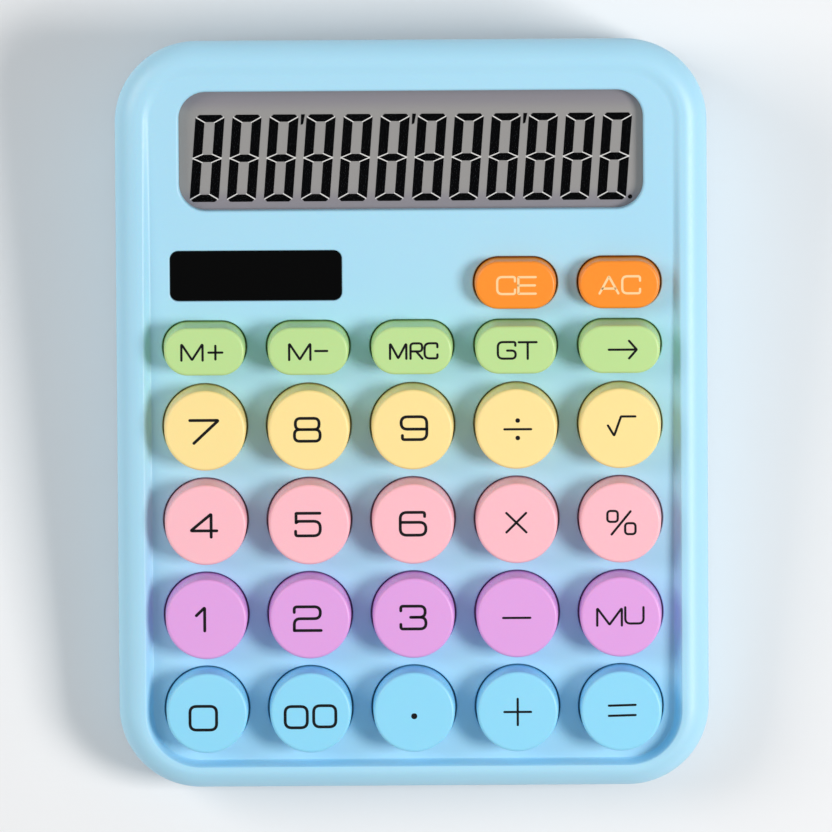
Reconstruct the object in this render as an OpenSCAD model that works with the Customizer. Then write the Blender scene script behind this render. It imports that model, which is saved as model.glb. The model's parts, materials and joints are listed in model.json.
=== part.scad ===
// Desk calculator: a wedge-shaped case, a large display, a solar cell and sprung round keys.
// Origin: centre of the footprint, on the surface that the feet rest on.
// +X is to the right, +Y towards the display, +Z up. Sizes are in millimetres.
// The key panel has its own frame: u to the right, v up the slope, w out of the panel.

/* [Case] */
// Width across the sides
body_w = 120; // [120:1:150]
// Length from the front edge to the rear edge
body_l = 152; // [152:1:190]
// Height of the rim plane at the front edge
front_h = 14.9; // [14.6:0.1:20]
// Height of the rim plane at the rear edge
rear_h = 34.6; // [33:0.1:44]
// Corner radius of the outline
corner_r = 16.5; // [14:0.5:19]
// Wall of both case halves
wall = 2; // [1.7:0.1:2.4]
// Height of the parting line between the halves
part_z = 9.5; // [8.5:0.1:10]
// Width of the rounded flank at the sides and the rear
flank_w = 4.6; // [3:0.1:5]
// Width of the rounded flank at the front
front_flank_w = 3.2; // [2:0.1:4]
// Height of the rounded flank
flank_h = 4.4; // [3:0.1:5]
// Roundness of the flank, from a chamfer at 1 to an ellipse at 2
flank_power = 1.7; // [1.2:0.1:2]
// Draft of the lower half's wall, measured across its height
lower_draft = 0.6; // [0:0.1:1]
// Rounding of the lower half's bottom edge
bottom_r = 2; // [1:0.1:2.4]
// Thickness of the lower half's floor
floor_t = 1.8; // [1.6:0.1:2.2]
// Height of the locating lip above the parting line
lip_h = 1.4; // [1:0.1:2]

/* [Panel] */
// Distance from the outline to the recess at the sides
rim_w = 6.2; // [5.6:0.1:7]
// Distance from the outline to the recess at the front
front_rim_w = 4.8; // [4.4:0.1:6]
// Distance from the outline to the recess at the rear
rear_rim_w = 5.4; // [5.2:0.1:6]
// Depth of the recess at the front
recess_front = 3.9; // [2:0.1:4.5]
// Depth of the recess at the rear
recess_rear = 0.3; // [0.2:0.1:1]
// Thickness of the panel
panel_t = 2; // [1.7:0.1:2.4]

/* [Keys] */
// Radius of a round key at its skirt
key_r = 8.45; // [6.9:0.05:8.5]
// Draft of a key, from skirt to top
key_draft = 0.2; // [0.1:0.05:0.4]
// Radius on a key's top edge
key_edge_r = 0.5; // [0.3:0.1:0.8]
// Height of a key above the panel
key_h = 6.6; // [4:0.1:8]
// Height of the clearing keys above the panel
clear_key_h = 3.8; // [3.5:0.1:8]
// Width of an oval key
oval_w = 16.7; // [14:0.1:17]
// Length of an oval key up the slope
oval_l = 10.2; // [9:0.1:10.4]
// Corner radius of an oval key
oval_r = 4.95; // [4:0.05:4.95]
// Gap between a key and its hole
key_gap = 0.26; // [0.2:0.01:0.4]
// Panel left between two round holes of a row
col_web = 3.63; // [3.4:0.01:5]
// Panel left between two rows of round holes
row_web = 2.04; // [2:0.01:3]
// Place of the upper row of digits up the slope
top_row_v = -2.15; // [-3:0.05:-1]
// Place of the memory keys up the slope
memory_row_v = 14.1; // [13:0.1:15]
// Place of the clearing keys up the slope
clear_row_v = 26.95; // [26.5:0.05:28]
// Wall of a keycap
key_wall = 1.1; // [0.8:0.1:1.4]
// Thickness of a keycap's top
key_top_t = 1.5; // [1:0.1:2]
// Width of the flange that holds a key under the panel
flange_w = 1; // [0.7:0.1:1]
// Thickness of the flange
flange_t = 1; // [0.8:0.1:1.4]
// Travel of a key
key_travel = 2; // [1.6:0.1:2.2]

/* [Display] */
// Width of the display opening
window_w = 94.1; // [80:0.1:95]
// Length of the display opening up the slope
window_l = 24.4; // [20:0.1:25]
// Corner radius of the display opening
window_r = 5.5; // [2:0.1:6]
// Place of the display up the slope
window_v = 54.15; // [53:0.05:55]
// Depth of the display opening
window_depth = 1.2; // [0.8:0.1:1.4]
// Thickness of each display glass
glass_t = 1.1; // [0.7:0.1:1.2]

/* [Solar cell] */
// Width of the solar window
solar_w = 34.9; // [25:0.1:36]
// Length of the solar window up the slope
solar_l = 10.3; // [8:0.1:11]
// Corner radius of the solar window
solar_r = 1.7; // [1:0.1:2.5]
// Place of the solar window across the panel
solar_u = -31.6; // [-33:0.1:-30]
// Place of the solar window up the slope
solar_v = 28.6; // [28.3:0.1:29]

/* [Keypad board] */
// Thickness of the circuit board
board_t = 1.2; // [1:0.1:1.6]
// Thickness of the rubber sheet under the domes
mat_t = 0.8; // [0.5:0.1:1]
// Radius of a dome at its foot
dome_r = 4; // [3.4:0.1:4.2]

/* [Battery] */
// Radius of the cell
cell_r = 7.25; // [5.2:0.05:7.25]
// Length of the cell
cell_l = 50.5; // [44.5:0.1:50.5]
// Gap round the cell
cell_gap = 0.6; // [0.4:0.1:1]
// Room for the contacts at the two ends of the cell
contact_room = 10.9; // [8:0.1:12]
// Thickness of each of the door's two steps
door_step = 1.2; // [1:0.1:1.4]
// Gap between the door and the case
door_gap = 0.2; // [0.15:0.05:0.3]

/* [Feet and screws] */
// Radius of a rubber foot
foot_r = 5; // [3:0.5:6]
// Height that a foot stands below the case
foot_h = 1; // [0.8:0.1:1.5]
// Radius of a case screw
screw_r = 1.25; // [1:0.05:1.4]
// Radius of a board screw
small_screw_r = 0.8; // [0.6:0.05:0.9]

/* [Hidden] */
$fn = 48;

// Colours
blue_plastic = "#addff6";
yellow_plastic = "#fee799";
pink_plastic = "#fec3c7";
purple_plastic = "#e9a9e4";
sky_plastic = "#96ddfb";
green_plastic = "#c3e88f";
orange_plastic = "#ff9632";

// Planes of the rim and of the panel
rim_slope = (rear_h - front_h) / body_l;
rim_z0 = (rear_h + front_h) / 2;
recess_w = body_w - 2 * rim_w;
recess_l = body_l - front_rim_w - rear_rim_w;
recess_y = (front_rim_w - rear_rim_w) / 2;
recess_r = corner_r - rim_w;
panel_slope = rim_slope + (recess_front - recess_rear) / recess_l;
panel_tilt = atan(panel_slope);
recess_rear_y = body_l / 2 - rear_rim_w;
panel_z0 = rim_z0 + rim_slope * recess_rear_y - recess_rear - panel_slope * recess_rear_y;

// Stack under the panel, as distances along w
flange_gap = 0.1;
flange_top = -panel_t - flange_gap;
plunger_drop = 0.45;
plunger_r = 2.2;
plunger_tip = flange_top - flange_t - plunger_drop;
dome_gap = 0.05;
dome_stop = 1;
dome_h = key_travel + dome_stop;
dome_top = plunger_tip - dome_gap;
mat_top = dome_top - dome_h;
board_top = mat_top - mat_t;
board_low = board_top - board_t;

// Key places
hole_r = key_r + key_gap;
// Columns clear the wider of the two key shapes
col_pitch = max(2 * hole_r, oval_w + 2 * key_gap) + col_web;
row_pitch = 2 * hole_r + row_web;
oval_flange_r = oval_r + flange_w;
COLUMNS = [for (c = [-2:2]) c * col_pitch];
ROWS = [for (r = [0:3]) top_row_v - r * row_pitch];
OVAL_PLACES = concat(
  [for (u = COLUMNS) [u, memory_row_v]],
  [[COLUMNS[3], clear_row_v], [COLUMNS[4], clear_row_v]]
);
ROUND_PLACES = [for (v = ROWS, u = COLUMNS) [u, v]];

// Keypad board and its posts
board_margin = 3.2;
board_half_w = COLUMNS[4] + dome_r + board_margin;
board_front_v = ROWS[3] - hole_r;
board_rear_v = clear_row_v + 10.5;
mat_rear_v = clear_row_v + 6;
mat_notch_u = -8;
mat_notch_v = memory_row_v + 7.4;
post_r = 2;
post_gap = 0.3;
post_deep = 4.2;
BOARD_POSTS = [
  [-1.5 * col_pitch, ROWS[0] - row_pitch / 2], [1.5 * col_pitch, ROWS[0] - row_pitch / 2],
  [-0.5 * col_pitch, ROWS[1] - row_pitch / 2], [0.5 * col_pitch, ROWS[1] - row_pitch / 2],
  [-1.5 * col_pitch, ROWS[2] - row_pitch / 2], [1.5 * col_pitch, ROWS[2] - row_pitch / 2],
  [0, clear_row_v + 2]
];
small_head_r = 1.7;
small_head_t = 1.2;
fit_gap = 0.03;
board_hole_gap = 0.3;

// Display stack
lens_gap = 0.1;
lens_border = 1.6;
glass_w = window_w + 3.6;
glass_l = window_l + 3.6;
glass_top = -panel_t - 0.2;
glass_step = glass_top - glass_t;
glass_low = glass_step - glass_t;
glass_ledge = 2.6;
film_t = 0.2;
holder_wall = 1.1;
holder_gap = 0.1;
holder_floor_top = glass_low - film_t - holder_gap;
holder_t = 1.2;
holder_w = glass_w + 2 * (holder_gap + holder_wall);
holder_l = glass_l + 2 * (holder_gap + holder_wall);
ear_u = 36;
ear_r = 1.9;
ear_reach = 2;
ear_drop = 1.2;
ear_t = 1.2;
ear_top = -panel_t - ear_drop;
EARS = [for (s = [-1, 1], t = [-1, 1]) [s * ear_u, window_v + t * (holder_l / 2 + ear_reach)]];
ribbon_half_w = 24;
ribbon_t = 0.15;
ribbon_slot_gap = 1;

// Solar cell
solar_gap = 0.1;
solar_ledge = 0.9;
solar_window_t = 1;
cell_margin = 0.8;
cell_plate_t = 1.1;
SOLAR_LEAD_U = [solar_u - 13, solar_u - 9];
lead_r = 0.45;

// Battery compartment and door
case_low = foot_h;
floor_top = case_low + floor_t;
door_top = case_low + 2 * door_step + 0.1;
cell_z = door_top + 0.1 + cell_r;
tub_half_w = (cell_l + contact_room) / 2;
tub_wall = 1.4;
tub_rear_y = body_l / 2 - wall - tub_wall;
tub_front_y = tub_rear_y - 2 * (cell_r + cell_gap);
tub_top = cell_z + cell_r + cell_gap;
cell_y = (tub_rear_y + tub_front_y) / 2;
cell_x0 = -tub_half_w + contact_room - 2.5;
rail_w = 1.5;
rail_t = 1.2;
rail_low = door_top + door_gap;
door_front_y = tub_front_y - 1.6;
ledge_half_w = tub_half_w - rail_w;

// Bosses, screws and feet
boss_inset = 6.5;
boss_r = 2.6;
boss_meet_z = 7.5;
boss_skin = 1.5;
pilot_depth = 5.5;
tube_r = 3.6;
tube_gap = 0.2;
head_r = 2.4;
head_t = 1.8;
head_seat_z = case_low + 3;
rear_boss_inset = 18;
BOSSES = [
  for (s = [-1, 1]) [s * (body_w / 2 - boss_inset), (ROWS[2] - row_pitch / 2) * cos(panel_tilt)],
  for (s = [-1, 1]) [s * (body_w / 2 - boss_inset), body_l / 2 - rear_boss_inset]
];
foot_pocket = 0.6;
foot_inset = 17;
rear_foot_inset = 33;
foot_front_inset = 14;
FEET = [
  for (s = [-1, 1]) [s * (body_w / 2 - foot_inset), -body_l / 2 + foot_front_inset],
  for (s = [-1, 1]) [s * (body_w / 2 - foot_inset), body_l / 2 - rear_foot_inset]
];

arc_steps = 12;
flank_steps = 5;
eps = 0.01;

// Height of the rim plane and of the panel at a place y
function rim_z(y) = rim_z0 + rim_slope * y;
function panel_z(y) = panel_z0 + panel_slope * y;

// Points of a rounded rectangle on the plane z = z0 + slope * y, counter-clockwise from above
function outline_points(w, l, r, y0, z0, slope) = [
  for (q = [0:3], i = [0:arc_steps])
    let (a = 90 * (q + i / arc_steps))
    let (x = (q == 0 || q == 3 ? 1 : -1) * (w / 2 - r) + r * cos(a))
    let (y = y0 + (q < 2 ? 1 : -1) * (l / 2 - r) + r * sin(a))
    [x, y, z0 + slope * y]
];

// Solid through a stack of outlines with equal numbers of points
module loft(rings) {
  n = len(rings[0]);
  last = len(rings) - 1;
  polyhedron(
    points = [for (ring = rings) each ring],
    faces = concat(
      [[for (i = [0:n - 1]) i]],
      [for (k = [0:last - 1], i = [0:n - 1])
        let (j = (i + 1) % n)
        [k * n + i, (k + 1) * n + i, (k + 1) * n + j, k * n + j]],
      [[for (i = [n - 1:-1:0]) last * n + i]]
    )
  );
}

module rounded_rect(w, l, r) {
  square([w - 2 * r, l], center = true);
  square([w, l - 2 * r], center = true);
  for (s = [-1, 1], t = [-1, 1])
    translate([s * (w / 2 - r), t * (l / 2 - r)]) circle(r);
}

// Rounded block in the panel frame, from w = low to w = high
module panel_block(u, v, w, l, r, low, high) {
  translate([u, v, low]) linear_extrude(high - low) rounded_rect(w, l, r);
}

// Places children in the frame of the panel
module on_panel() {
  translate([0, 0, panel_z0]) rotate([panel_tilt, 0, 0]) children();
}

// Round tube through a list of points that never run along X
module tube(points, r) {
  sides = 8;
  last = len(points) - 1;
  loft([for (i = [0:last])
    let (d = points[min(i + 1, last)] - points[max(i - 1, 0)])
    let (n = cross([1, 0, 0], d) / norm(cross([1, 0, 0], d)))
    let (b = cross(d, n) / norm(d))
    [for (k = [0:sides - 1]) points[i] + r * (cos(360 * k / sides) * n + sin(360 * k / sides) * b)]]);
}

// Outside of the upper half, set in by a distance o all round and lowered by it
module upper_blank(o, low) {
  fw = flank_w - o * 0.6;
  ff = front_flank_w - o * 0.6;
  fh = flank_h - o * 0.6;
  loft(concat(
    [outline_points(body_w - 2 * o, body_l - 2 * o, corner_r - o, 0, low, 0)],
    [for (k = [0:flank_steps])
      let (a = 90 * k / flank_steps)
      let (inward = 1 - pow(cos(a), 2 / flank_power))
      let (side = fw * inward)
      let (front = ff * inward)
      outline_points(
        body_w - 2 * (o + side), body_l - 2 * o - side - front, corner_r - o - side,
        (front - side) / 2, rim_z0 - o - fh * (1 - pow(sin(a), 2 / flank_power)), rim_slope)]
  ));
}

// Everything below the plane z = z0 + slope * y, over the whole case
module below_plane(z0, slope) {
  big = 4 * body_l;
  translate([0, 0, z0]) rotate([atan(slope), 0, 0])
    translate([-big / 2, -big / 2, -big]) cube(big);
}

// Panel plate with the band of wall round the recess
module panel_plate() {
  band = 1.6;
  rim_skin = 0.8;
  intersection() {
    translate([0, recess_y, part_z])
      linear_extrude(rear_h)
        rounded_rect(recess_w + 2 * band, recess_l + 2 * band, recess_r + band);
    difference() {
      below_plane(rim_z0 - rim_skin, rim_slope);
      below_plane(panel_z0 - panel_t / cos(panel_tilt), panel_slope);
    }
  }
}

module recess() {
  difference() {
    translate([0, recess_y, part_z])
      linear_extrude(2 * rear_h) rounded_rect(recess_w, recess_l, recess_r);
    below_plane(panel_z0, panel_slope);
  }
}

module key_holes() {
  depth = panel_t + 1;
  for (p = ROUND_PLACES) translate([p.x, p.y, -depth]) cylinder(h = 2 * depth, r = hole_r, $fn = 96);
  for (p = OVAL_PLACES)
    panel_block(p.x, p.y, oval_w + 2 * key_gap, oval_l + 2 * key_gap, oval_r + key_gap, -depth, depth);
}

module front_case() {
  color(blue_plastic)
  difference() {
    union() {
      difference() {
        upper_blank(0, part_z);
        upper_blank(wall, part_z - 1);
      }
      panel_plate();
      for (b = BOSSES)
        translate([b.x, b.y, boss_meet_z]) cylinder(h = rim_z(b.y) - boss_skin - boss_meet_z, r = boss_r);
      on_panel() {
        for (p = BOARD_POSTS)
          translate([p.x, p.y, board_top]) cylinder(h = -board_top - panel_t / 2, r = post_r);
        for (p = EARS) translate([p.x, p.y, ear_top]) cylinder(h = -ear_top - panel_t / 2, r = ear_r);
      }
    }
    recess();
    on_panel() {
      key_holes();
      panel_block(0, window_v, window_w, window_l, window_r, -panel_t - 1, 1);
      panel_block(0, window_v, window_w + 2 * lens_border, window_l + 2 * lens_border, window_r,
        -panel_t - 1, -window_depth);
      panel_block(solar_u, solar_v, solar_w, solar_l, solar_r, -solar_window_t, 1);
      panel_block(solar_u, solar_v, solar_w - 2 * solar_ledge, solar_l - 2 * solar_ledge,
        solar_r - solar_ledge, -panel_t - 1, 1);
      for (p = BOARD_POSTS)
        translate([p.x, p.y, board_top - 1]) cylinder(h = post_deep + 1, r = small_screw_r + fit_gap);
      for (p = EARS)
        translate([p.x, p.y, ear_top - 1]) cylinder(h = 2.6, r = small_screw_r + fit_gap);
    }
    for (b = BOSSES)
      translate([b.x, b.y, boss_meet_z - 1]) cylinder(h = pilot_depth + 1, r = screw_r + fit_gap);
  }
}

// Outside of the lower half
module lower_blank() {
  loft(concat(
    [for (k = [0:4])
      let (a = 90 * k / 4)
      let (inset = lower_draft + bottom_r * (1 - sin(a)))
      outline_points(body_w - 2 * inset, body_l - 2 * inset, corner_r - inset,
        0, case_low + bottom_r * (1 - cos(a)), 0)],
    [outline_points(body_w, body_l, corner_r, 0, part_z, 0)]
  ));
}

module lower_cavity() {
  inset = wall + lower_draft;
  translate([0, 0, floor_top]) linear_extrude(part_z)
    rounded_rect(body_w - 2 * inset, body_l - 2 * inset, corner_r - inset);
}

// Lip that centres the upper half on the lower one
module lip() {
  lip_t = 1;
  lip_gap = 0.1;
  root = 2;
  difference() {
    union() {
      translate([0, 0, part_z - root]) linear_extrude(root)
        rounded_rect(body_w - 2 * wall, body_l - 2 * wall, corner_r - wall);
      translate([0, 0, part_z - eps]) linear_extrude(lip_h + eps)
        rounded_rect(body_w - 2 * (wall + lip_gap), body_l - 2 * (wall + lip_gap),
          corner_r - wall - lip_gap);
    }
    translate([0, 0, part_z - root - 1]) linear_extrude(root + lip_h + 2)
      rounded_rect(body_w - 2 * (wall + lip_gap + lip_t), body_l - 2 * (wall + lip_gap + lip_t),
        corner_r - wall - lip_gap - lip_t);
    for (b = BOSSES) translate([b.x, b.y, part_z - root - 1])
      cylinder(h = root + lip_h + 2, r = boss_r + tube_gap);
  }
}

module tub() {
  translate([-tub_half_w - tub_wall, tub_front_y - tub_wall, case_low])
    cube([2 * (tub_half_w + tub_wall), tub_rear_y - tub_front_y + 2 * tub_wall,
      tub_top + tub_wall - case_low]);
}

module tub_inside() {
  translate([-tub_half_w, tub_front_y, case_low - 1])
    cube([2 * tub_half_w, tub_rear_y - tub_front_y, tub_top - case_low + 1]);
}

// Slot that the door slides in, open at the rear edge
module door_slot() {
  reach = body_l;
  translate([-ledge_half_w, door_front_y, case_low - 1])
    cube([2 * ledge_half_w, reach, rail_low - case_low + 1]);
  translate([-tub_half_w, door_front_y, case_low + door_step])
    cube([2 * tub_half_w, reach, rail_low - case_low - door_step]);
}

module rear_case() {
  contact_slot = 4.5;
  color(blue_plastic)
  difference() {
    union() {
      difference() {
        union() {
          difference() {
            lower_blank();
            lower_cavity();
          }
          lip();
          translate([-tub_half_w - tub_wall, door_front_y - tub_wall, case_low + eps])
            cube([2 * (tub_half_w + tub_wall), body_l / 2 - wall - door_front_y + tub_wall,
              rail_low + rail_t - case_low - eps]);
          tub();
        }
        tub_inside();
      }
      for (s = [-1, 1]) translate([s > 0 ? ledge_half_w : -tub_half_w - eps, tub_front_y - eps, case_low])
        cube([rail_w + eps, tub_rear_y - tub_front_y + 2 * eps, rail_low + rail_t - case_low]);
      for (b = BOSSES)
        translate([b.x, b.y, case_low + eps]) cylinder(h = boss_meet_z - case_low - eps, r = tube_r);
    }
    door_slot();
    for (b = BOSSES) {
      translate([b.x, b.y, case_low - 1]) cylinder(h = boss_meet_z, r = screw_r + board_hole_gap);
      translate([b.x, b.y, case_low - 1]) cylinder(h = head_seat_z - case_low + 1, r = head_r + tube_gap);
    }
    for (f = FEET) translate([f.x, f.y, case_low - 1]) cylinder(h = foot_pocket + 1, r = foot_r + 0.1);
    for (s = [-1, 1])
      translate([s * (tub_half_w - 1), tub_front_y - tub_wall - 1, cell_z])
        translate([-contact_slot / 2, 0, 0]) cube([contact_slot, tub_wall + 2, 2]);
  }
}

module display_window() {
  color([0.9, 0.93, 0.95, 0.35])
  on_panel() panel_block(0, window_v, window_w + 2 * (lens_border - lens_gap),
    window_l + 2 * (lens_border - lens_gap), window_r, -panel_t, -window_depth);
}

module lcd_front_glass() {
  color("#a3a2a0")
  on_panel() panel_block(0, window_v, glass_w, glass_l, 0.5, glass_step, glass_top);
}

module lcd_rear_glass() {
  color("#9a999a")
  on_panel() panel_block(0, window_v + glass_ledge / 2, glass_w, glass_l - glass_ledge, 0.5,
    glass_low, glass_step);
}

module lcd_reflector() {
  film_inset = 1;
  color("#c9cac8")
  on_panel() panel_block(0, window_v + glass_ledge / 2, glass_w - 2 * film_inset,
    glass_l - glass_ledge - 2 * film_inset, 0.5, glass_low - film_t, glass_low);
}

module lcd_holder() {
  color("#e8ebee")
  on_panel() difference() {
    union() {
      panel_block(0, window_v, holder_w, holder_l, 1.5, holder_floor_top - holder_t, -panel_t);
      for (p = EARS) {
        translate([p.x, p.y, ear_top - ear_t]) cylinder(h = ear_t, r = ear_r);
        translate([p.x - ear_r, min(p.y, window_v + sign(p.y - window_v) * holder_l / 2), ear_top - ear_t])
          cube([2 * ear_r, ear_reach, ear_t]);
      }
    }
    panel_block(0, window_v, glass_w + 2 * holder_gap, glass_l + 2 * holder_gap, 0.6,
      holder_floor_top, 1);
    translate([-ribbon_half_w - ribbon_slot_gap, window_v - holder_l / 2 - 1,
      holder_floor_top - holder_t - 1])
      cube([2 * (ribbon_half_w + ribbon_slot_gap), glass_ledge + holder_wall + holder_gap + 1.6, 8]);
    for (p = EARS) translate([p.x, p.y, ear_top - 2]) cylinder(h = 4, r = small_screw_r + board_hole_gap);
  }
}

module lcd_ribbon() {
  land = 2.6;
  bend = 1;
  front_v = board_rear_v - land - 0.4;
  glass_v = window_v - glass_l / 2;
  top_w = glass_step;
  color("#c98b3a")
  on_panel() translate([-ribbon_half_w, 0, 0]) rotate([90, 0, 90])
    linear_extrude(2 * ribbon_half_w) polygon([
      [front_v, board_top], [front_v + land, board_top], [glass_v - bend, top_w - ribbon_t],
      [glass_v + glass_ledge - 0.4, top_w - ribbon_t], [glass_v + glass_ledge - 0.4, top_w],
      [glass_v - bend - 0.1, top_w], [front_v + land - 0.1, board_top + ribbon_t],
      [front_v, board_top + ribbon_t]
    ]);
}

// Pan-head screw pointing up w, its seat at w = 0
module small_screw(length) {
  translate([0, 0, -small_head_t]) cylinder(h = small_head_t, r = small_head_r);
  translate([0, 0, -eps]) cylinder(h = length + eps, r = small_screw_r);
}

// Cross slot in a screw head that faces down
module cross_slot(depth, r) {
  slot_w = 0.5;
  for (a = [0, 90]) rotate([0, 0, a])
    translate([-r * 0.6, -slot_w / 2, -eps]) cube([r * 1.2, slot_w, depth + eps]);
}

module lcd_screws() {
  color("silver")
  on_panel() for (p = EARS) translate([p.x, p.y, ear_top - ear_t]) difference() {
    small_screw(2.6);
    translate([0, 0, -small_head_t]) cross_slot(0.6, small_head_r);
  }
}

module board_screws() {
  color("silver")
  on_panel() for (p = BOARD_POSTS) translate([p.x, p.y, board_low]) difference() {
    small_screw(board_t + post_deep - 0.4);
    translate([0, 0, -small_head_t]) cross_slot(0.6, small_head_r);
  }
}

module solar_window() {
  sink = 0.05;
  color([0.1, 0.1, 0.11, 0.6])
  on_panel() panel_block(solar_u, solar_v, solar_w - 2 * solar_gap, solar_l - 2 * solar_gap,
    solar_r - solar_gap, -solar_window_t, -sink);
}

module solar_cell() {
  color("#14100f")
  on_panel() panel_block(solar_u, solar_v, solar_w + 2 * cell_margin, solar_l + 2 * cell_margin, 0.3,
    -panel_t - cell_plate_t, -panel_t);
}

module solar_leads() {
  color("firebrick")
  on_panel() for (u = SOLAR_LEAD_U)
    tube([[u, solar_v, -panel_t - cell_plate_t], [u, solar_v, -panel_t - cell_plate_t - 1],
      [u, solar_v - 1, board_top + 1], [u, solar_v - 1, board_top]], lead_r);
}

module keypad_board() {
  color("#c79a5a")
  on_panel() difference() {
    translate([-board_half_w, board_front_v, board_low])
      cube([2 * board_half_w, board_rear_v - board_front_v, board_t]);
    for (p = BOARD_POSTS)
      translate([p.x, p.y, board_low - 1]) cylinder(h = board_t + 2, r = small_screw_r + board_hole_gap);
  }
}

module chip_blob() {
  blob_r = 7;
  blob_h = 1.6;
  color("#1a1a1a")
  on_panel() translate([col_pitch / 2, clear_row_v - 4, board_low]) mirror([0, 0, 1])
    intersection() {
      translate([0, 0, blob_h - 16]) sphere(16, $fn = 96);
      cylinder(h = blob_h, r = blob_r);
    }
}

module capacitor() {
  can_r = 2.5;
  can_l = 8;
  color("#24335c")
  on_panel() translate([-1.2 * col_pitch, clear_row_v, board_low - can_r]) rotate([0, 90, 0]) {
    cylinder(h = can_l, r = can_r);
    translate([0, 0, -0.6]) cylinder(h = 0.7, r = can_r - 0.4);
  }
}

module resistors() {
  body_r = 0.9;
  color("#d8b98a")
  on_panel() for (i = [0:2])
    translate([1.4 * col_pitch + 3.5 * i, clear_row_v, board_low - body_r]) rotate([90, 0, 0]) {
      translate([0, 0, -1.7]) cylinder(h = 3.4, r = body_r);
      for (s = [-1, 1]) translate([0, 0, s * 3.2 - 1.6]) cylinder(h = 3.2, r = 0.3);
      for (s = [-1, 1]) translate([0, 0, s * 4.8]) rotate([-90, 0, 0]) cylinder(h = body_r, r = 0.3);
    }
}

module dome_mat() {
  dome_top_r = 2.4;
  skin = 0.5;
  pill_r = 1.3;
  mat_front_v = board_front_v + 0.5;
  mat_half_w = board_half_w - 0.5;
  color("#e7e7e4")
  on_panel() difference() {
    union() {
      translate([-mat_half_w, mat_front_v, board_top])
        cube([2 * mat_half_w, mat_rear_v - mat_front_v, mat_t]);
      for (p = concat(ROUND_PLACES, OVAL_PLACES))
        translate([p.x, p.y, mat_top - eps]) cylinder(h = dome_h + eps, r1 = dome_r, r2 = dome_top_r);
    }
    for (p = concat(ROUND_PLACES, OVAL_PLACES)) translate([p.x, p.y, board_top - 1])
      difference() {
        cylinder(h = dome_h + mat_t + 1 - 1.2, r1 = dome_r, r2 = dome_top_r - skin);
        translate([0, 0, 2]) cylinder(h = dome_h + 1, r = pill_r);
      }
    for (p = BOARD_POSTS) translate([p.x, p.y, board_top - 1])
      cylinder(h = mat_t + 2, r = post_r + post_gap);
    translate([-2 * board_half_w, mat_notch_v, board_top - 1])
      cube([2 * board_half_w + mat_notch_u, 2 * board_half_w, mat_t + 2]);
  }
}

module battery_door() {
  grip_w = 16;
  grip_l = 0.9;
  grip_pitch = 2;
  catch_r = 1.2;
  lower_half_w = ledge_half_w - door_gap;
  upper_half_w = tub_half_w - door_gap;
  color(blue_plastic)
  difference() {
    intersection() {
      lower_blank();
      union() {
        translate([-lower_half_w, door_front_y + door_gap, 0])
          cube([2 * lower_half_w, body_l, case_low + door_step + door_gap + eps]);
        translate([-upper_half_w, door_front_y + door_gap, case_low + door_step + door_gap])
          cube([2 * upper_half_w, body_l, door_top - case_low - door_step - door_gap]);
      }
    }
    for (i = [-2:2])
      translate([-grip_w / 2, cell_y + i * grip_pitch, case_low - 1]) cube([grip_w, grip_l, 1.4]);
    translate([0, cell_y - 4 * grip_pitch, case_low - 1]) cylinder(h = 1.4, r = catch_r);
  }
}

module battery() {
  button_r = 2.7;
  button_h = 1.5;
  color("#2f7d4f")
  translate([cell_x0, cell_y, cell_z]) rotate([0, 90, 0]) {
    cylinder(h = cell_l - button_h, r = cell_r);
    cylinder(h = cell_l, r = button_r);
  }
}

module battery_spring() {
  turns = 4;
  steps = 16;
  wire_r = 0.35;
  plate_t = 0.4;
  plate_w = 11;
  foot_coil_r = 5;
  tip_coil_r = 3;
  spring_l = cell_x0 + tub_half_w - plate_t - wire_r;
  color("silver")
  translate([-tub_half_w, cell_y, cell_z]) {
    translate([0, -plate_w / 2, -plate_w / 2]) cube([plate_t, plate_w, plate_w]);
    tube([for (i = [0:turns * steps])
      let (part = i / (turns * steps))
      let (coil_r = foot_coil_r + (tip_coil_r - foot_coil_r) * part)
      [plate_t + (spring_l - wire_r) * part, coil_r * cos(360 * i / steps),
        coil_r * sin(360 * i / steps)]], wire_r);
  }
}

module battery_plate() {
  plate_t = 0.4;
  plate_w = 11;
  color("silver")
  translate([tub_half_w - plate_t, cell_y - plate_w / 2, cell_z - plate_w / 2])
    cube([plate_t, plate_w, plate_w]);
}

module battery_leads() {
  start_y = tub_front_y - 0.2;
  board_y = (board_rear_v - 6) * cos(panel_tilt);
  board_z = panel_z(board_y) + board_low / cos(panel_tilt) - 0.6;
  color("#333333")
  for (s = [-1, 1]) tube([
    [s * (tub_half_w - 1), start_y, cell_z + 1], [s * (tub_half_w - 1), start_y - 5, cell_z + 3],
    [s * (tub_half_w - 4), board_y + 4, board_z - 2], [s * (tub_half_w - 4), board_y, board_z]
  ], lead_r);
}

module case_screws() {
  color("silver")
  for (b = BOSSES) difference() {
    union() {
      translate([b.x, b.y, head_seat_z - head_t]) cylinder(h = head_t, r = head_r);
      translate([b.x, b.y, head_seat_z - eps])
        cylinder(h = boss_meet_z + pilot_depth - 0.5 - head_seat_z, r = screw_r);
    }
    translate([b.x, b.y, head_seat_z - head_t]) cross_slot(1, head_r);
  }
}

module rubber_feet() {
  edge = 0.4;
  color("#2b2b2b")
  for (f = FEET) translate([f.x, f.y, 0]) rotate_extrude() polygon([
    [0, 0], [foot_r - edge, 0], [foot_r, edge], [foot_r, foot_h + foot_pocket],
    [0, foot_h + foot_pocket]
  ]);
}

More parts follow.
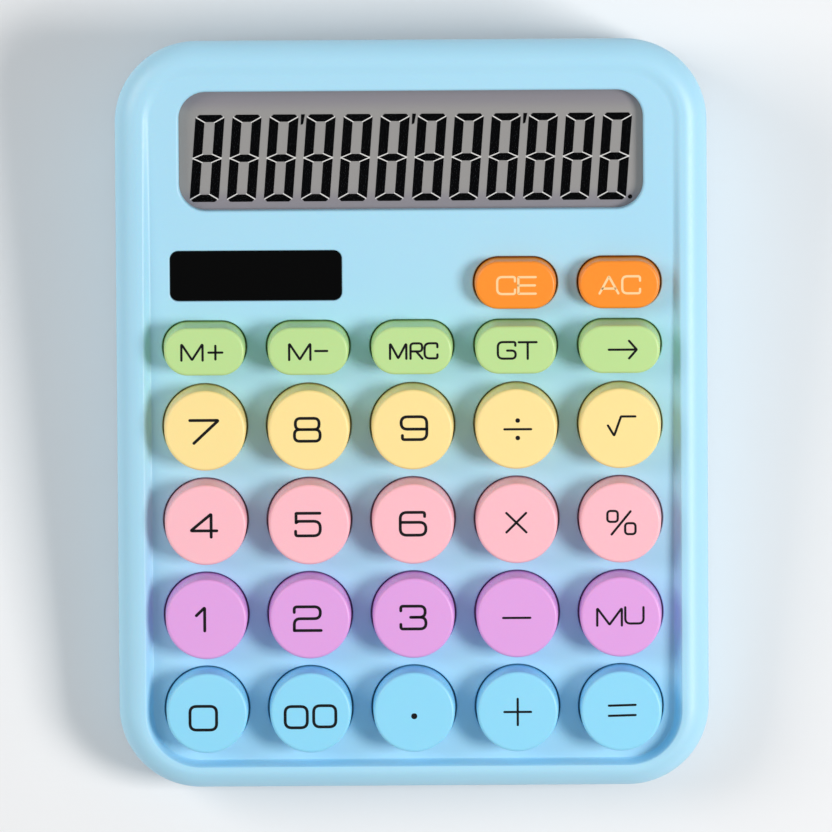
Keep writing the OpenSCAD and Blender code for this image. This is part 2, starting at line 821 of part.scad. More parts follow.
// Round keycap: hollow, with a plunger and a flange under the panel
module round_key(c, r) {
  skirt_low = flange_top - flange_t;
  top_r = key_r - key_draft;
  on_panel() translate([COLUMNS[c], ROWS[r], 0]) rotate_extrude($fn = 96) union() {
    polygon([
      [0, plunger_tip], [plunger_r, plunger_tip], [plunger_r, key_h - key_top_t],
      [top_r - key_wall, key_h - key_top_t], [key_r - key_wall, skirt_low],
      [key_r + flange_w, skirt_low], [key_r + flange_w, flange_top], [key_r, flange_top],
      [top_r, key_h - key_edge_r], [top_r - key_edge_r, key_h], [0, key_h]
    ]);
    translate([top_r - key_edge_r, key_h - key_edge_r]) intersection() {
      circle(key_edge_r);
      square(key_edge_r);
    }
  }
}

// Oval keycap with the same inner shape
module oval_key(c, v, h) {
  skirt_low = flange_top - flange_t;
  inset = key_draft + key_edge_r;
  on_panel() translate([COLUMNS[c], v, 0]) {
    difference() {
      union() {
        loft(concat(
          [outline_points(oval_w, oval_l, oval_r, 0, skirt_low, 0)],
          [for (a = [0:22.5:90])
            let (o = key_draft + key_edge_r * (1 - cos(a)))
            outline_points(oval_w - 2 * o, oval_l - 2 * o, oval_r - o, 0,
              h - key_edge_r * (1 - sin(a)), 0)]
        ));
        panel_block(0, 0, oval_w + 2 * flange_w, oval_l + 2 * flange_w, oval_flange_r,
          skirt_low, flange_top);
      }
      panel_block(0, 0, oval_w - 2 * key_wall, oval_l - 2 * key_wall, oval_r - key_wall,
        skirt_low - 1, h - key_top_t);
    }
    translate([0, 0, plunger_tip]) cylinder(h = h - key_top_t - plunger_tip + eps, r = plunger_r);
  }
}

module key_7() { color(yellow_plastic) round_key(0, 0); }
module key_8() { color(yellow_plastic) round_key(1, 0); }
module key_9() { color(yellow_plastic) round_key(2, 0); }
module key_divide() { color(yellow_plastic) round_key(3, 0); }
module key_root() { color(yellow_plastic) round_key(4, 0); }
module key_4() { color(pink_plastic) round_key(0, 1); }
module key_5() { color(pink_plastic) round_key(1, 1); }
module key_6() { color(pink_plastic) round_key(2, 1); }
module key_times() { color(pink_plastic) round_key(3, 1); }
module key_percent() { color(pink_plastic) round_key(4, 1); }
module key_1() { color(purple_plastic) round_key(0, 2); }
module key_2() { color(purple_plastic) round_key(1, 2); }
module key_3() { color(purple_plastic) round_key(2, 2); }
module key_minus() { color(purple_plastic) round_key(3, 2); }
module key_markup() { color(purple_plastic) round_key(4, 2); }
module key_0() { color(sky_plastic) round_key(0, 3); }
module key_00() { color(sky_plastic) round_key(1, 3); }
module key_point() { color(sky_plastic) round_key(2, 3); }
module key_plus() { color(sky_plastic) round_key(3, 3); }
module key_equals() { color(sky_plastic) round_key(4, 3); }
module key_m_plus() { color(green_plastic) oval_key(0, memory_row_v, key_h); }
module key_m_minus() { color(green_plastic) oval_key(1, memory_row_v, key_h); }
module key_mrc() { color(green_plastic) oval_key(2, memory_row_v, key_h); }
module key_gt() { color(green_plastic) oval_key(3, memory_row_v, key_h); }
module key_back() { color(green_plastic) oval_key(4, memory_row_v, key_h); }
module key_ce() { color(orange_plastic) oval_key(3, clear_row_v, clear_key_h); }
module key_ac() { color(orange_plastic) oval_key(4, clear_row_v, clear_key_h); }

front_case();
rear_case();
display_window();
lcd_front_glass();
lcd_rear_glass();
lcd_reflector();
lcd_holder();
lcd_ribbon();
lcd_screws();
solar_window();
solar_cell();
solar_leads();
keypad_board();
chip_blob();
capacitor();
resistors();
board_screws();
dome_mat();
battery_door();
battery();
battery_spring();
battery_plate();
battery_leads();
case_screws();
rubber_feet();
key_7();
key_8();
key_9();
key_divide();
key_root();
key_4();
key_5();
key_6();
key_times();
key_percent();
key_1();
key_2();
key_3();
key_minus();
key_markup();
key_0();
key_00();
key_point();
key_plus();
key_equals();
key_m_plus();
key_m_minus();
key_mrc();
key_gt();
key_back();
key_ce();
key_ac();
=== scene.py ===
"""Looks of a pastel desk calculator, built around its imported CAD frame.

Every piece is made in metres in the row's frame: +X to the right, +Y towards the display, +Z up.
The key panel has its own frame of u (right), v (up the slope) and w (out of the panel).
"""

from __future__ import annotations

import json
import logging
import math
from collections.abc import Callable, Sequence
from dataclasses import dataclass, field
from enum import Enum, auto

import bmesh
import bpy
from mathutils import Matrix, Vector, geometry

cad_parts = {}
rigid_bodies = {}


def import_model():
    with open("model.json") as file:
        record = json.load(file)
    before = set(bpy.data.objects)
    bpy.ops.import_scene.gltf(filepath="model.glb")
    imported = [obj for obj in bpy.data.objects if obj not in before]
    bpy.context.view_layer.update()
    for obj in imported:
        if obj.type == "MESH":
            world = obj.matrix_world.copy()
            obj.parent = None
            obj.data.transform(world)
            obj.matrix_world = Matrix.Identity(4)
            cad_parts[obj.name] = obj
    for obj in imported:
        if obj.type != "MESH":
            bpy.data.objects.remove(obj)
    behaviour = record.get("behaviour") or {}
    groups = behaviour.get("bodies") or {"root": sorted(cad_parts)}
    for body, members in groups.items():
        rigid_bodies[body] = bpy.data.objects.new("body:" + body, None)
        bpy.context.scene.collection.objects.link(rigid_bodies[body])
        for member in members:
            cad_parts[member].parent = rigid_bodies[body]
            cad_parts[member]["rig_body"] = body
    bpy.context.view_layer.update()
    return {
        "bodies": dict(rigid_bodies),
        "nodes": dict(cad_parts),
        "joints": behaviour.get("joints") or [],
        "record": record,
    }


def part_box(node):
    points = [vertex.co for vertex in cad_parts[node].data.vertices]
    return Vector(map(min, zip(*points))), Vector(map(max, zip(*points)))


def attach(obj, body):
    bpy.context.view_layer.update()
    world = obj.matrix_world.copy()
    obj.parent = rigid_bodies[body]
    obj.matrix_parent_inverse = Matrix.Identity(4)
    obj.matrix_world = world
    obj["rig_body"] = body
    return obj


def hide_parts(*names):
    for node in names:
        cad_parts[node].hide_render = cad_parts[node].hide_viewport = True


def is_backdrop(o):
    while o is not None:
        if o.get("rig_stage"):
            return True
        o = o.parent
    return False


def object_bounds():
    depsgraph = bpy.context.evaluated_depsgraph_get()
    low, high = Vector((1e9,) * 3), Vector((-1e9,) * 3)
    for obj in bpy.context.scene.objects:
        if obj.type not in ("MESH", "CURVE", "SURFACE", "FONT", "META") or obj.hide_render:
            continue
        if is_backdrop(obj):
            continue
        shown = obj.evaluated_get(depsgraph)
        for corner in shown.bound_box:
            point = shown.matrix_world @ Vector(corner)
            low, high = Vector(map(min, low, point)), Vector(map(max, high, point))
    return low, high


log = logging.getLogger("calculator")

MM = 0.001
TINY = 1e-7
# The triangulation's mode that fills everything inside the outer outline.
FILL_OUTLINE = 1
# Places of the colour sockets of a Mix node, whose names are shared between its data types.
MIX_FIRST, MIX_SECOND, MIX_RESULT = 6, 7, 2

Point = tuple[float, float]
Ring = list[Vector]
VertRing = list[bmesh.types.BMVert]
Legend = tuple[tuple[str, float, float], ...]


# ---------------------------------------------------------------- finishes


def linear(hex_colour: str) -> tuple[float, float, float, float]:
    """Turns an sRGB hex colour into linear light.

    Args:
        hex_colour: Six hex digits with a leading hash.

    Returns:
        Linear red, green, blue and an alpha of one.
    """
    parts = [int(hex_colour[i : i + 2], 16) / 255 for i in (1, 3, 5)]
    toned = [p / 12.92 if p <= 0.04045 else ((p + 0.055) / 1.055) ** 2.4 for p in parts]
    return (toned[0], toned[1], toned[2], 1.0)


def add_node(
    tree: bpy.types.NodeTree, kind: str, settings: dict | None = None, links: dict | None = None
) -> bpy.types.Node:
    """Adds a shader node with its settings and its incoming links.

    Args:
        tree: The node tree to add to.
        kind: The node's type name.
        settings: Attribute names, or input names in square brackets, and their values.
        links: Input names and the output sockets that feed them.

    Returns:
        The new node.
    """
    node = tree.nodes.new(kind)
    for name, value in (settings or {}).items():
        if name.startswith("["):
            node.inputs[name[1:-1]].default_value = value
        else:
            setattr(node, name, value)
    for name, socket in (links or {}).items():
        tree.links.new(socket, node.inputs[name])
    return node


def blank_material(name: str) -> bpy.types.Material:
    """Makes a material whose node tree is empty.

    Args:
        name: Name of the material.

    Returns:
        The material, ready for its nodes.
    """
    material = bpy.data.materials.new(name)
    material.use_nodes = True
    material.node_tree.nodes.clear()
    return material


class Grain(Enum):
    """How the tool or the process left a surface."""

    ERODED = auto()
    POLISHED = auto()
    BRUSHED = auto()
    FIBROUS = auto()
    MATT_SKIN = auto()


# Scale of the grain along a scratch or a fibre, as a share of its scale across.
GRAIN_STRETCH = 0.08
# How far the gloss strays to either side, on a polished surface and on any other.
POLISHED_SPREAD = 0.04
SATIN_SPREAD = 0.08
LEAST_ROUGHNESS = 0.02
COAT_ROUGHNESS = 0.08


@dataclass(frozen=True)
class Finish:
    """A real material and how its surface was made."""

    name: str
    colour: str
    second: str
    roughness: float
    grain: Grain = Grain.ERODED
    grain_mm: float = 0.5
    grain_height_mm: float = 0.004
    cloud_mm: float = 30.0
    ior: float = 1.5
    metallic: float = 0.0
    alpha: float = 1.0
    coat: float = 0.0
    subsurface: float = 0.0
    subsurface_mm: float = 1.0
    specular: float = 0.5

    def stretch(self) -> tuple[float, float, float]:
        """Scale of the grain along each axis: long scratches or fibres run along X."""
        along = GRAIN_STRETCH if self.grain in (Grain.BRUSHED, Grain.FIBROUS) else 1.0
        return (along, 1.0, 1.0)

    def build(self) -> bpy.types.Material:
        """Makes the material.

        Returns:
            A node material with a clouded colour, an uneven gloss and a grain in its relief.
        """
        material = blank_material(self.name)
        tree = material.node_tree
        place = add_node(tree, "ShaderNodeTexCoord")
        mapping = add_node(
            tree, "ShaderNodeMapping", {"[Scale]": self.stretch()}, {"Vector": place.outputs["Object"]}
        )
        cloud = add_node(
            tree,
            "ShaderNodeTexNoise",
            {"[Scale]": 1 / (self.cloud_mm * MM), "[Detail]": 3.0, "[Roughness]": 0.5},
            {"Vector": place.outputs["Object"]},
        )
        tint = add_node(tree, "ShaderNodeMix", {"data_type": "RGBA"}, {"Factor": cloud.outputs["Fac"]})
        tint.inputs[MIX_FIRST].default_value = linear(self.colour)
        tint.inputs[MIX_SECOND].default_value = linear(self.second)
        grain = add_node(
            tree,
            "ShaderNodeTexNoise",
            {"[Scale]": 1 / (self.grain_mm * MM), "[Detail]": 2.0, "[Roughness]": 0.6},
            {"Vector": mapping.outputs["Vector"]},
        )
        spread = POLISHED_SPREAD if self.grain is Grain.POLISHED else SATIN_SPREAD
        lowest = max(LEAST_ROUGHNESS, self.roughness - spread)
        gloss = add_node(
            tree,
            "ShaderNodeMapRange",
            {"[To Min]": lowest, "[To Max]": self.roughness + spread},
            {"Value": grain.outputs["Fac"]},
        )
        relief = add_node(
            tree,
            "ShaderNodeBump",
            {"[Strength]": 1.0, "[Distance]": self.grain_height_mm * MM},
            {"Height": grain.outputs["Fac"]},
        )
        shader = add_node(
            tree,
            "ShaderNodeBsdfPrincipled",
            {
                "[Metallic]": self.metallic,
                "[Alpha]": self.alpha,
                "[Coat Weight]": self.coat,
                "[Coat Roughness]": COAT_ROUGHNESS,
                "[Subsurface Weight]": self.subsurface,
                "[Subsurface Scale]": self.subsurface_mm * MM,
                "[Specular IOR Level]": self.specular,
            },
            {
                "Base Color": tint.outputs[MIX_RESULT],
                "Roughness": gloss.outputs["Result"],
                "Normal": relief.outputs["Normal"],
            },
        )
        if self.metallic == 0.0:
            shader.inputs["IOR"].default_value = self.ior
        add_node(tree, "ShaderNodeOutputMaterial", {}, {"Surface": shader.outputs["BSDF"]})
        return material


@dataclass(frozen=True)
class SegmentGlass:
    """Front polariser of a twisted-nematic display: a satin film over grey liquid crystal.

    The film's colour darkens above and below the band of digits: painted shade towards the window's top
    and bottom edges.
    """

    name: str = "lcd_polariser_film_painted_shade"
    # Colour of the painted shade above and below the digits.
    rim: str = "#8e8b92"
    band: str = "#9b9a99"
    # Shares of half the band where the painted shade begins and where it is full.
    band_end: float = 0.82
    painted_shade_full: float = 1.15
    roughness: float = 0.32
    ior: float = 1.5
    grain_mm: float = 0.6
    grain_height_mm: float = 0.003
    grain_strength: float = 0.6

    def build(self, centre_y: float, half_band: float) -> bpy.types.Material:
        """Makes the material.

        Args:
            centre_y: Middle of the row of digits, in metres.
            half_band: Half the height of the lighter band, in metres.

        Returns:
            A grey film that is lighter behind the digits, with a fine grain.
        """
        material = blank_material(self.name)
        tree = material.node_tree
        place = add_node(tree, "ShaderNodeTexCoord")
        split = add_node(tree, "ShaderNodeSeparateXYZ", {}, {"Vector": place.outputs["Object"]})
        away = add_node(tree, "ShaderNodeMath", {"operation": "SUBTRACT"}, {0: split.outputs["Y"]})
        away.inputs[1].default_value = centre_y
        size = add_node(tree, "ShaderNodeMath", {"operation": "ABSOLUTE"}, {0: away.outputs[0]})
        # Painted shade: the film darkens away from the digits towards the window's top and bottom edges.
        painted_shade_fade = add_node(
            tree,
            "ShaderNodeMapRange",
            {
                "interpolation_type": "SMOOTHSTEP",
                "[From Min]": half_band * self.band_end,
                "[From Max]": half_band * self.painted_shade_full,
            },
            {"Value": size.outputs[0]},
        )
        tint = add_node(tree, "ShaderNodeMix", {"data_type": "RGBA"}, {"Factor": painted_shade_fade.outputs["Result"]})
        tint.inputs[MIX_FIRST].default_value = linear(self.band)
        tint.inputs[MIX_SECOND].default_value = linear(self.rim)
        grain = add_node(
            tree,
            "ShaderNodeTexNoise",
            {"[Scale]": 1 / (self.grain_mm * MM)},
            {"Vector": place.outputs["Object"]},
        )
        relief = add_node(
            tree,
            "ShaderNodeBump",
            {"[Distance]": self.grain_height_mm * MM, "[Strength]": self.grain_strength},
            {"Height": grain.outputs["Fac"]},
        )
        shader = add_node(
            tree,
            "ShaderNodeBsdfPrincipled",
            {"[Roughness]": self.roughness, "[IOR]": self.ior},
            {"Base Color": tint.outputs[MIX_RESULT], "Normal": relief.outputs["Normal"]},
        )
        add_node(tree, "ShaderNodeOutputMaterial", {}, {"Surface": shader.outputs["BSDF"]})
        return material


# ABS moulded in a spark-eroded tool: a satin skin whose fine grit spreads the highlights. The grit is
# drawn at half a millimetre, coarser than the real tenth, so that it shows.
CASE_ABS = Finish("abs_pale_blue_satin", "#a6dcf6", "#addff5", 0.42, subsurface=0.06)
YELLOW_ABS = Finish("abs_yellow_satin", "#fde397", "#fee59e", 0.40, subsurface=0.08)
PINK_ABS = Finish("abs_pink_satin", "#fdbcc8", "#fec1cc", 0.40, subsurface=0.08)
PURPLE_ABS = Finish("abs_lilac_satin", "#e0a0e6", "#e4a6e8", 0.40, subsurface=0.08)
SKY_ABS = Finish("abs_sky_blue_satin", "#8bdafb", "#93ddfc", 0.40, subsurface=0.08)
GREEN_ABS = Finish("abs_leaf_green_satin", "#bbe093", "#c1e399", 0.40, subsurface=0.08)
ORANGE_ABS = Finish("abs_orange_satin", "#fe8f20", "#ff9528", 0.40, subsurface=0.06)
# Pad-printed ink: a thin film that dries a little glossier than the key under it.
BLACK_INK = Finish(
    "pad_print_ink_black", "#08080a", "#0e0e12", 0.45, Grain.MATT_SKIN, 0.4, 0.002, specular=0.25
)
CREAM_INK = Finish("pad_print_ink_cream", "#fbd8a2", "#f9d196", 0.40, Grain.MATT_SKIN, 0.4, 0.002)
# Driven liquid crystal reads as black. The glass over it has nearly its index, so it hardly reflects.
SEGMENT_BLACK = Finish(
    "liquid_crystal_driven", "#040405", "#070708", 0.35, Grain.POLISHED, 0.8, 0.001, specular=0.02
)
SEGMENT_EDGE = Finish("liquid_crystal_clear", "#e4e4e2", "#ececea", 0.40, Grain.POLISHED, 0.8, 0.001)
# Cast acrylic sheet: clear and polished, seen mostly by its reflections.
CLEAR_ACRYLIC = Finish(
    "cast_acrylic_clear", "#20262a", "#2a3034", 0.06, Grain.POLISHED, 3.0, 0.001, ior=1.49, alpha=0.02
)
SOLAR_ACRYLIC = Finish(
    "cast_acrylic_smoked",
    "#030303",
    "#060606",
    0.16,
    Grain.POLISHED,
    4.0,
    0.002,
    ior=1.49,
    specular=0.08,
)
# Amorphous silicon on glass: nearly black, with a brown cast.
SILICON = Finish("amorphous_silicon", "#120d0c", "#1a1311", 0.18, Grain.POLISHED, 2.0, 0.001, coat=0.5)
# Aluminised film behind the display: a grey that throws light back softly.
REFLECTOR = Finish(
    "aluminised_film", "#c4c6c6", "#cfd0ce", 0.30, Grain.BRUSHED, 0.3, 0.002, metallic=1.0
)
WHITE_HIPS = Finish("hips_white_moulded", "#e6e9eb", "#eceef0", 0.50)
# Polyimide film: amber and slick.
POLYIMIDE = Finish("polyimide_film_amber", "#c07a24", "#c98736", 0.28, Grain.POLISHED, 1.0, 0.002)
# Paper-phenolic laminate: tan, with the fibres of its paper.
PHENOLIC = Finish("paper_phenolic_laminate", "#b98a4c", "#c79a5c", 0.45, Grain.FIBROUS, 0.6, 0.01, 6.0)
EPOXY = Finish("cast_epoxy_black", "#101010", "#191919", 0.22, Grain.POLISHED, 2.0, 0.01)
SLEEVE = Finish("pvc_shrink_sleeve_blue", "#1e2c52", "#283a66", 0.30, Grain.POLISHED, 1.0, 0.003)
LACQUER = Finish("resistor_lacquer_beige", "#d2b184", "#dcbf94", 0.38, Grain.MATT_SKIN, 0.8, 0.01)
# Compression-moulded silicone: milky and dull.
SILICONE = Finish(
    "silicone_milky", "#dedfda", "#e8e8e4", 0.60, Grain.MATT_SKIN, 0.8, 0.006, subsurface=0.2
)
JACKET = Finish(
    "cell_jacket_green_foil", "#2a7349", "#338257", 0.25, Grain.BRUSHED, 0.3, 0.002, coat=0.4
)
# Nickel-plated steel: a warm bright metal with drawing marks.
NICKEL = Finish(
    "nickel_plated_steel", "#bdbab4", "#cbc8c2", 0.28, Grain.BRUSHED, 0.2, 0.004, metallic=1.0
)
RED_PVC = Finish("pvc_insulation_red", "#a8261f", "#b53029", 0.42, Grain.MATT_SKIN, 0.6, 0.004)
BLACK_PVC = Finish("pvc_insulation_black", "#1d1d1f", "#28282b", 0.42, Grain.MATT_SKIN, 0.6, 0.004)
# Moulded rubber: charcoal, dull, with a coarse skin that grips.
RUBBER = Finish("moulded_rubber_charcoal", "#232324", "#2e2e30", 0.78, Grain.MATT_SKIN, 0.7, 0.03, 8.0)
# Matt seamless paper under the object.
PAPER = Finish("seamless_paper_pale", "#e9ecef", "#eef0f2", 0.85, Grain.FIBROUS, 0.8, 0.01, 60.0)


# ---------------------------------------------------------------- mesh helpers


class Shell:
    """A mesh that is built up from rings of points."""

    def __init__(self, name: str) -> None:
        """Starts an empty mesh.

        Args:
            name: Name of the piece that the mesh becomes.
        """
        self.name = name
        self.mesh = bmesh.new()

    def ring(self, points: Sequence[Vector]) -> VertRing:
        """Adds a closed ring of points and returns its vertices."""
        return [self.mesh.verts.new(p) for p in points]

    def bridge(self, low: VertRing, high: VertRing) -> None:
        """Joins two rings of equal length with a band of quads.

        Args:
            low: The first ring.
            high: The second ring.
        """
        count = len(low)
        for i in range(count):
            j = (i + 1) % count
            self.mesh.faces.new((low[i], low[j], high[j], high[i]))

    def stack(self, rings: Sequence[Sequence[Vector]]) -> list[VertRing]:
        """Lofts a band through a list of rings.

        Args:
            rings: The points of each ring, all of one length.

        Returns:
            The vertices of each ring.
        """
        made = [self.ring(r) for r in rings]
        for low, high in zip(made, made[1:]):
            self.bridge(low, high)
        return made

    def cap(self, ring: VertRing, flip: bool = False) -> None:
        """Closes a ring with one flat face, turned over if flip is set."""
        self.mesh.faces.new(list(reversed(ring)) if flip else ring)

    def plate(self, loops: Sequence[VertRing]) -> None:
        """Fills a nearly level outline that has convex holes in it.

        A triangle whose corners all belong to one hole lies in that hole, and is left out.

        Args:
            loops: The outer ring and the rings of the holes.
        """
        verts = [vert for loop in loops for vert in loop]
        owners = [i for i, loop in enumerate(loops) for _ in loop]
        edges = []
        start = 0
        for loop in loops:
            count = len(loop)
            edges += [(start + i, start + (i + 1) % count) for i in range(count)]
            start += count
        flat = [Vector((v.co.x, v.co.y)) for v in verts]
        result = geometry.delaunay_2d_cdt(flat, edges, [], FILL_OUTLINE, TINY)
        triangles, sources = result[2], result[3]
        for triangle in triangles:
            corners = [sources[i][0] for i in triangle]
            owner = {owners[i] for i in corners}
            if len(owner) > 1 or owner == {0}:
                self.mesh.faces.new([verts[i] for i in corners])

    def finish(self, material: bpy.types.Material, sharp_deg: float = 32.0) -> bpy.types.Object:
        """Turns the mesh into an object with weighted normals.

        Args:
            material: The finish of the whole piece.
            sharp_deg: Edges steeper than this stay crisp.

        Returns:
            The object, linked to the scene.
        """
        bmesh.ops.recalc_face_normals(self.mesh, faces=self.mesh.faces)
        data = bpy.data.meshes.new(self.name)
        self.mesh.to_mesh(data)
        self.mesh.free()
        data.materials.append(material)
        data.shade_smooth()
        data.set_sharp_from_angle(angle=math.radians(sharp_deg))
        piece = bpy.data.objects.new(self.name, data)
        bpy.context.scene.collection.objects.link(piece)
        weighted = piece.modifiers.new("weighted_normals", "WEIGHTED_NORMAL")
        weighted.keep_sharp = True
        return piece


def rounded_outline(
    width: float, length: float, radius: float, steps: int = 16, side_steps: int = 1
) -> list[Point]:
    """Points of a rounded rectangle, anticlockwise from its right side.

    Args:
        width: Size along the first axis.
        length: Size along the second axis.
        radius: Corner radius.
        steps: Number of stretches in each corner.
        side_steps: Number of stretches along each straight side.

    Returns:
        The outline about the origin.
    """
    arcs = []
    for quarter in range(4):
        cx = (width / 2 - radius) * (1 if quarter in (0, 3) else -1)
        cy = (length / 2 - radius) * (1 if quarter < 2 else -1)
        turns = [math.radians(90 * (quarter + i / steps)) for i in range(steps + 1)]
        arcs.append([(cx + radius * math.cos(a), cy + radius * math.sin(a)) for a in turns])
    points = []
    for arc, after in zip(arcs, arcs[1:] + arcs[:1]):
        points += arc
        (x0, y0), (x1, y1) = arc[-1], after[0]
        for i in range(1, side_steps):
            t = i / side_steps
            points.append((x0 + (x1 - x0) * t, y0 + (y1 - y0) * t))
    return points


def circle_outline(radius: float, steps: int = 72) -> list[Point]:
    """Points of a circle about the origin, anticlockwise."""
    turns = [2 * math.pi * i / steps for i in range(steps)]
    return [(radius * math.cos(a), radius * math.sin(a)) for a in turns]


# The tangent of half an angle is taken as at least this where a line nearly doubles back.
LEAST_TANGENT = 0.01
# One plus the cosine of a corner's turn is taken as at least this, so that a sharp corner stays near.
LEAST_OPENING = 0.2


def rounded_path(points: Sequence[Point], radius: float, closed: bool, steps: int = 6) -> list[Point]:
    """Rounds the corners of a broken line.

    Args:
        points: The corners.
        radius: Radius at each corner, limited by the lines that meet there.
        closed: Whether the line returns to its start.
        steps: Number of stretches in each corner.

    Returns:
        The rounded line.
    """
    count = len(points)
    out: list[Point] = []
    for i in range(count):
        here = Vector(points[i])
        if not closed and i in (0, count - 1):
            out.append(points[i])
            continue
        before = Vector(points[i - 1]) - here
        after = Vector(points[(i + 1) % count]) - here
        half = before.angle(after) / 2
        back = min(radius / max(math.tan(half), LEAST_TANGENT), before.length / 2, after.length / 2)
        a = here + before.normalized() * back
        b = here + after.normalized() * back
        for k in range(steps + 1):
            t = k / steps
            point = a * (1 - t) ** 2 + here * 2 * t * (1 - t) + b * t**2
            out.append((point.x, point.y))
    return out


def inset_polygon(points: Sequence[Point], distance: float) -> list[Point]:
    """Moves the sides of a convex polygon inwards.

    Args:
        points: The corners, anticlockwise.
        distance: How far each side moves.

    Returns:
        The smaller polygon.
    """
    out = []
    for i, here in enumerate(points):
        p0, p1, p2 = Vector(points[i - 1]), Vector(here), Vector(points[(i + 1) % len(points)])
        d0, d1 = (p1 - p0).normalized(), (p2 - p1).normalized()
        n0, n1 = Vector((-d0.y, d0.x)), Vector((-d1.y, d1.x))
        joint = (n0 + n1) / max(1 + n0.dot(n1), LEAST_OPENING)
        moved = p1 + joint * distance
        out.append((moved.x, moved.y))
    return out


# ---------------------------------------------------------------- the panel's frame


class PanelFrame:
    """The sloped key panel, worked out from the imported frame."""

    def __init__(self, frame: dict, panel_t: float) -> None:
        """Finds the panel's tilt from a key's travel and its height from what sits under it.

        Args:
            panel_t: Thickness of the panel, whose underside carries the solar cell.
        """
        self.nodes = frame["nodes"]
        press = next(j for j in frame["joints"] if j["name"] == "key_5_press")
        self.normal = -Vector(press["axis"]).normalized()
        self.up_slope = Vector((0.0, self.normal.z, -self.normal.y))
        self.thickness = panel_t
        under = max(v.co.dot(self.normal) for v in self.nodes["solar_cell"].data.vertices)
        self.origin = Vector((0.0, 0.0, (under + panel_t) / self.normal.z))

    def world(self, u: float, v: float, w: float) -> Vector:
        """Turns a place on the panel into the row's frame."""
        return self.origin + Vector((u, 0.0, 0.0)) + self.up_slope * v + self.normal * w

    def height_at(self, y: float) -> float:
        """Height of the panel's face at a place along Y."""
        return self.origin.z - (self.normal.y / self.normal.z) * y

    def extents(self, node: str) -> tuple[Vector, Vector]:
        """Measures a CAD node in the panel's frame.

        Args:
            node: Name of the node.

        Returns:
            Lowest and highest u, v and w.
        """
        rows = []
        for vert in self.nodes[node].data.vertices:
            away = vert.co - self.origin
            rows.append((away.x, away.dot(self.up_slope), away.dot(self.normal)))
        low = Vector([min(r[i] for r in rows) for i in range(3)])
        high = Vector([max(r[i] for r in rows) for i in range(3)])
        return low, high

    def ring(self, outline: Sequence[Point], u: float, v: float, w: float) -> Ring:
        """Lays an outline on the panel about a place, at a height w."""
        return [self.world(u + x, v + y, w) for x, y in outline]


# ---------------------------------------------------------------- keys


class KeyColour(Enum):
    """The finish of a row of keys."""

    YELLOW = auto()
    PINK = auto()
    PURPLE = auto()
    SKY = auto()
    GREEN = auto()
    ORANGE = auto()


KEY_FINISHES = {
    KeyColour.YELLOW: YELLOW_ABS,
    KeyColour.PINK: PINK_ABS,
    KeyColour.PURPLE: PURPLE_ABS,
    KeyColour.SKY: SKY_ABS,
    KeyColour.GREEN: GREEN_ABS,
    KeyColour.ORANGE: ORANGE_ABS,
}


@dataclass(frozen=True)
class Stroke:
    """One line of a printed legend, in millimetres about the legend's middle."""

    points: tuple[Point, ...]
    radius: float = 0.12
    closed: bool = False


def box_stroke(x0: float, y0: float, x1: float, y1: float, radius: float) -> Stroke:
    """A closed rounded square between two corners."""
    return Stroke(((x0, y0), (x1, y0), (x1, y1), (x0, y1)), radius, True)


def dot_stroke(x: float, y: float, radius: float) -> Stroke:
    """A round dot, drawn as a ring whose line fills it."""
    r = radius / 2
    return Stroke(((x - r, y - r), (x + r, y - r), (x + r, y + r), (x - r, y + r)), r, True)


# Radius of the wide bends of the digits, and of the tighter ones of the 8 and of the letters, in
# millimetres.
BEND = 1.35
LETTER_BEND = 1.05

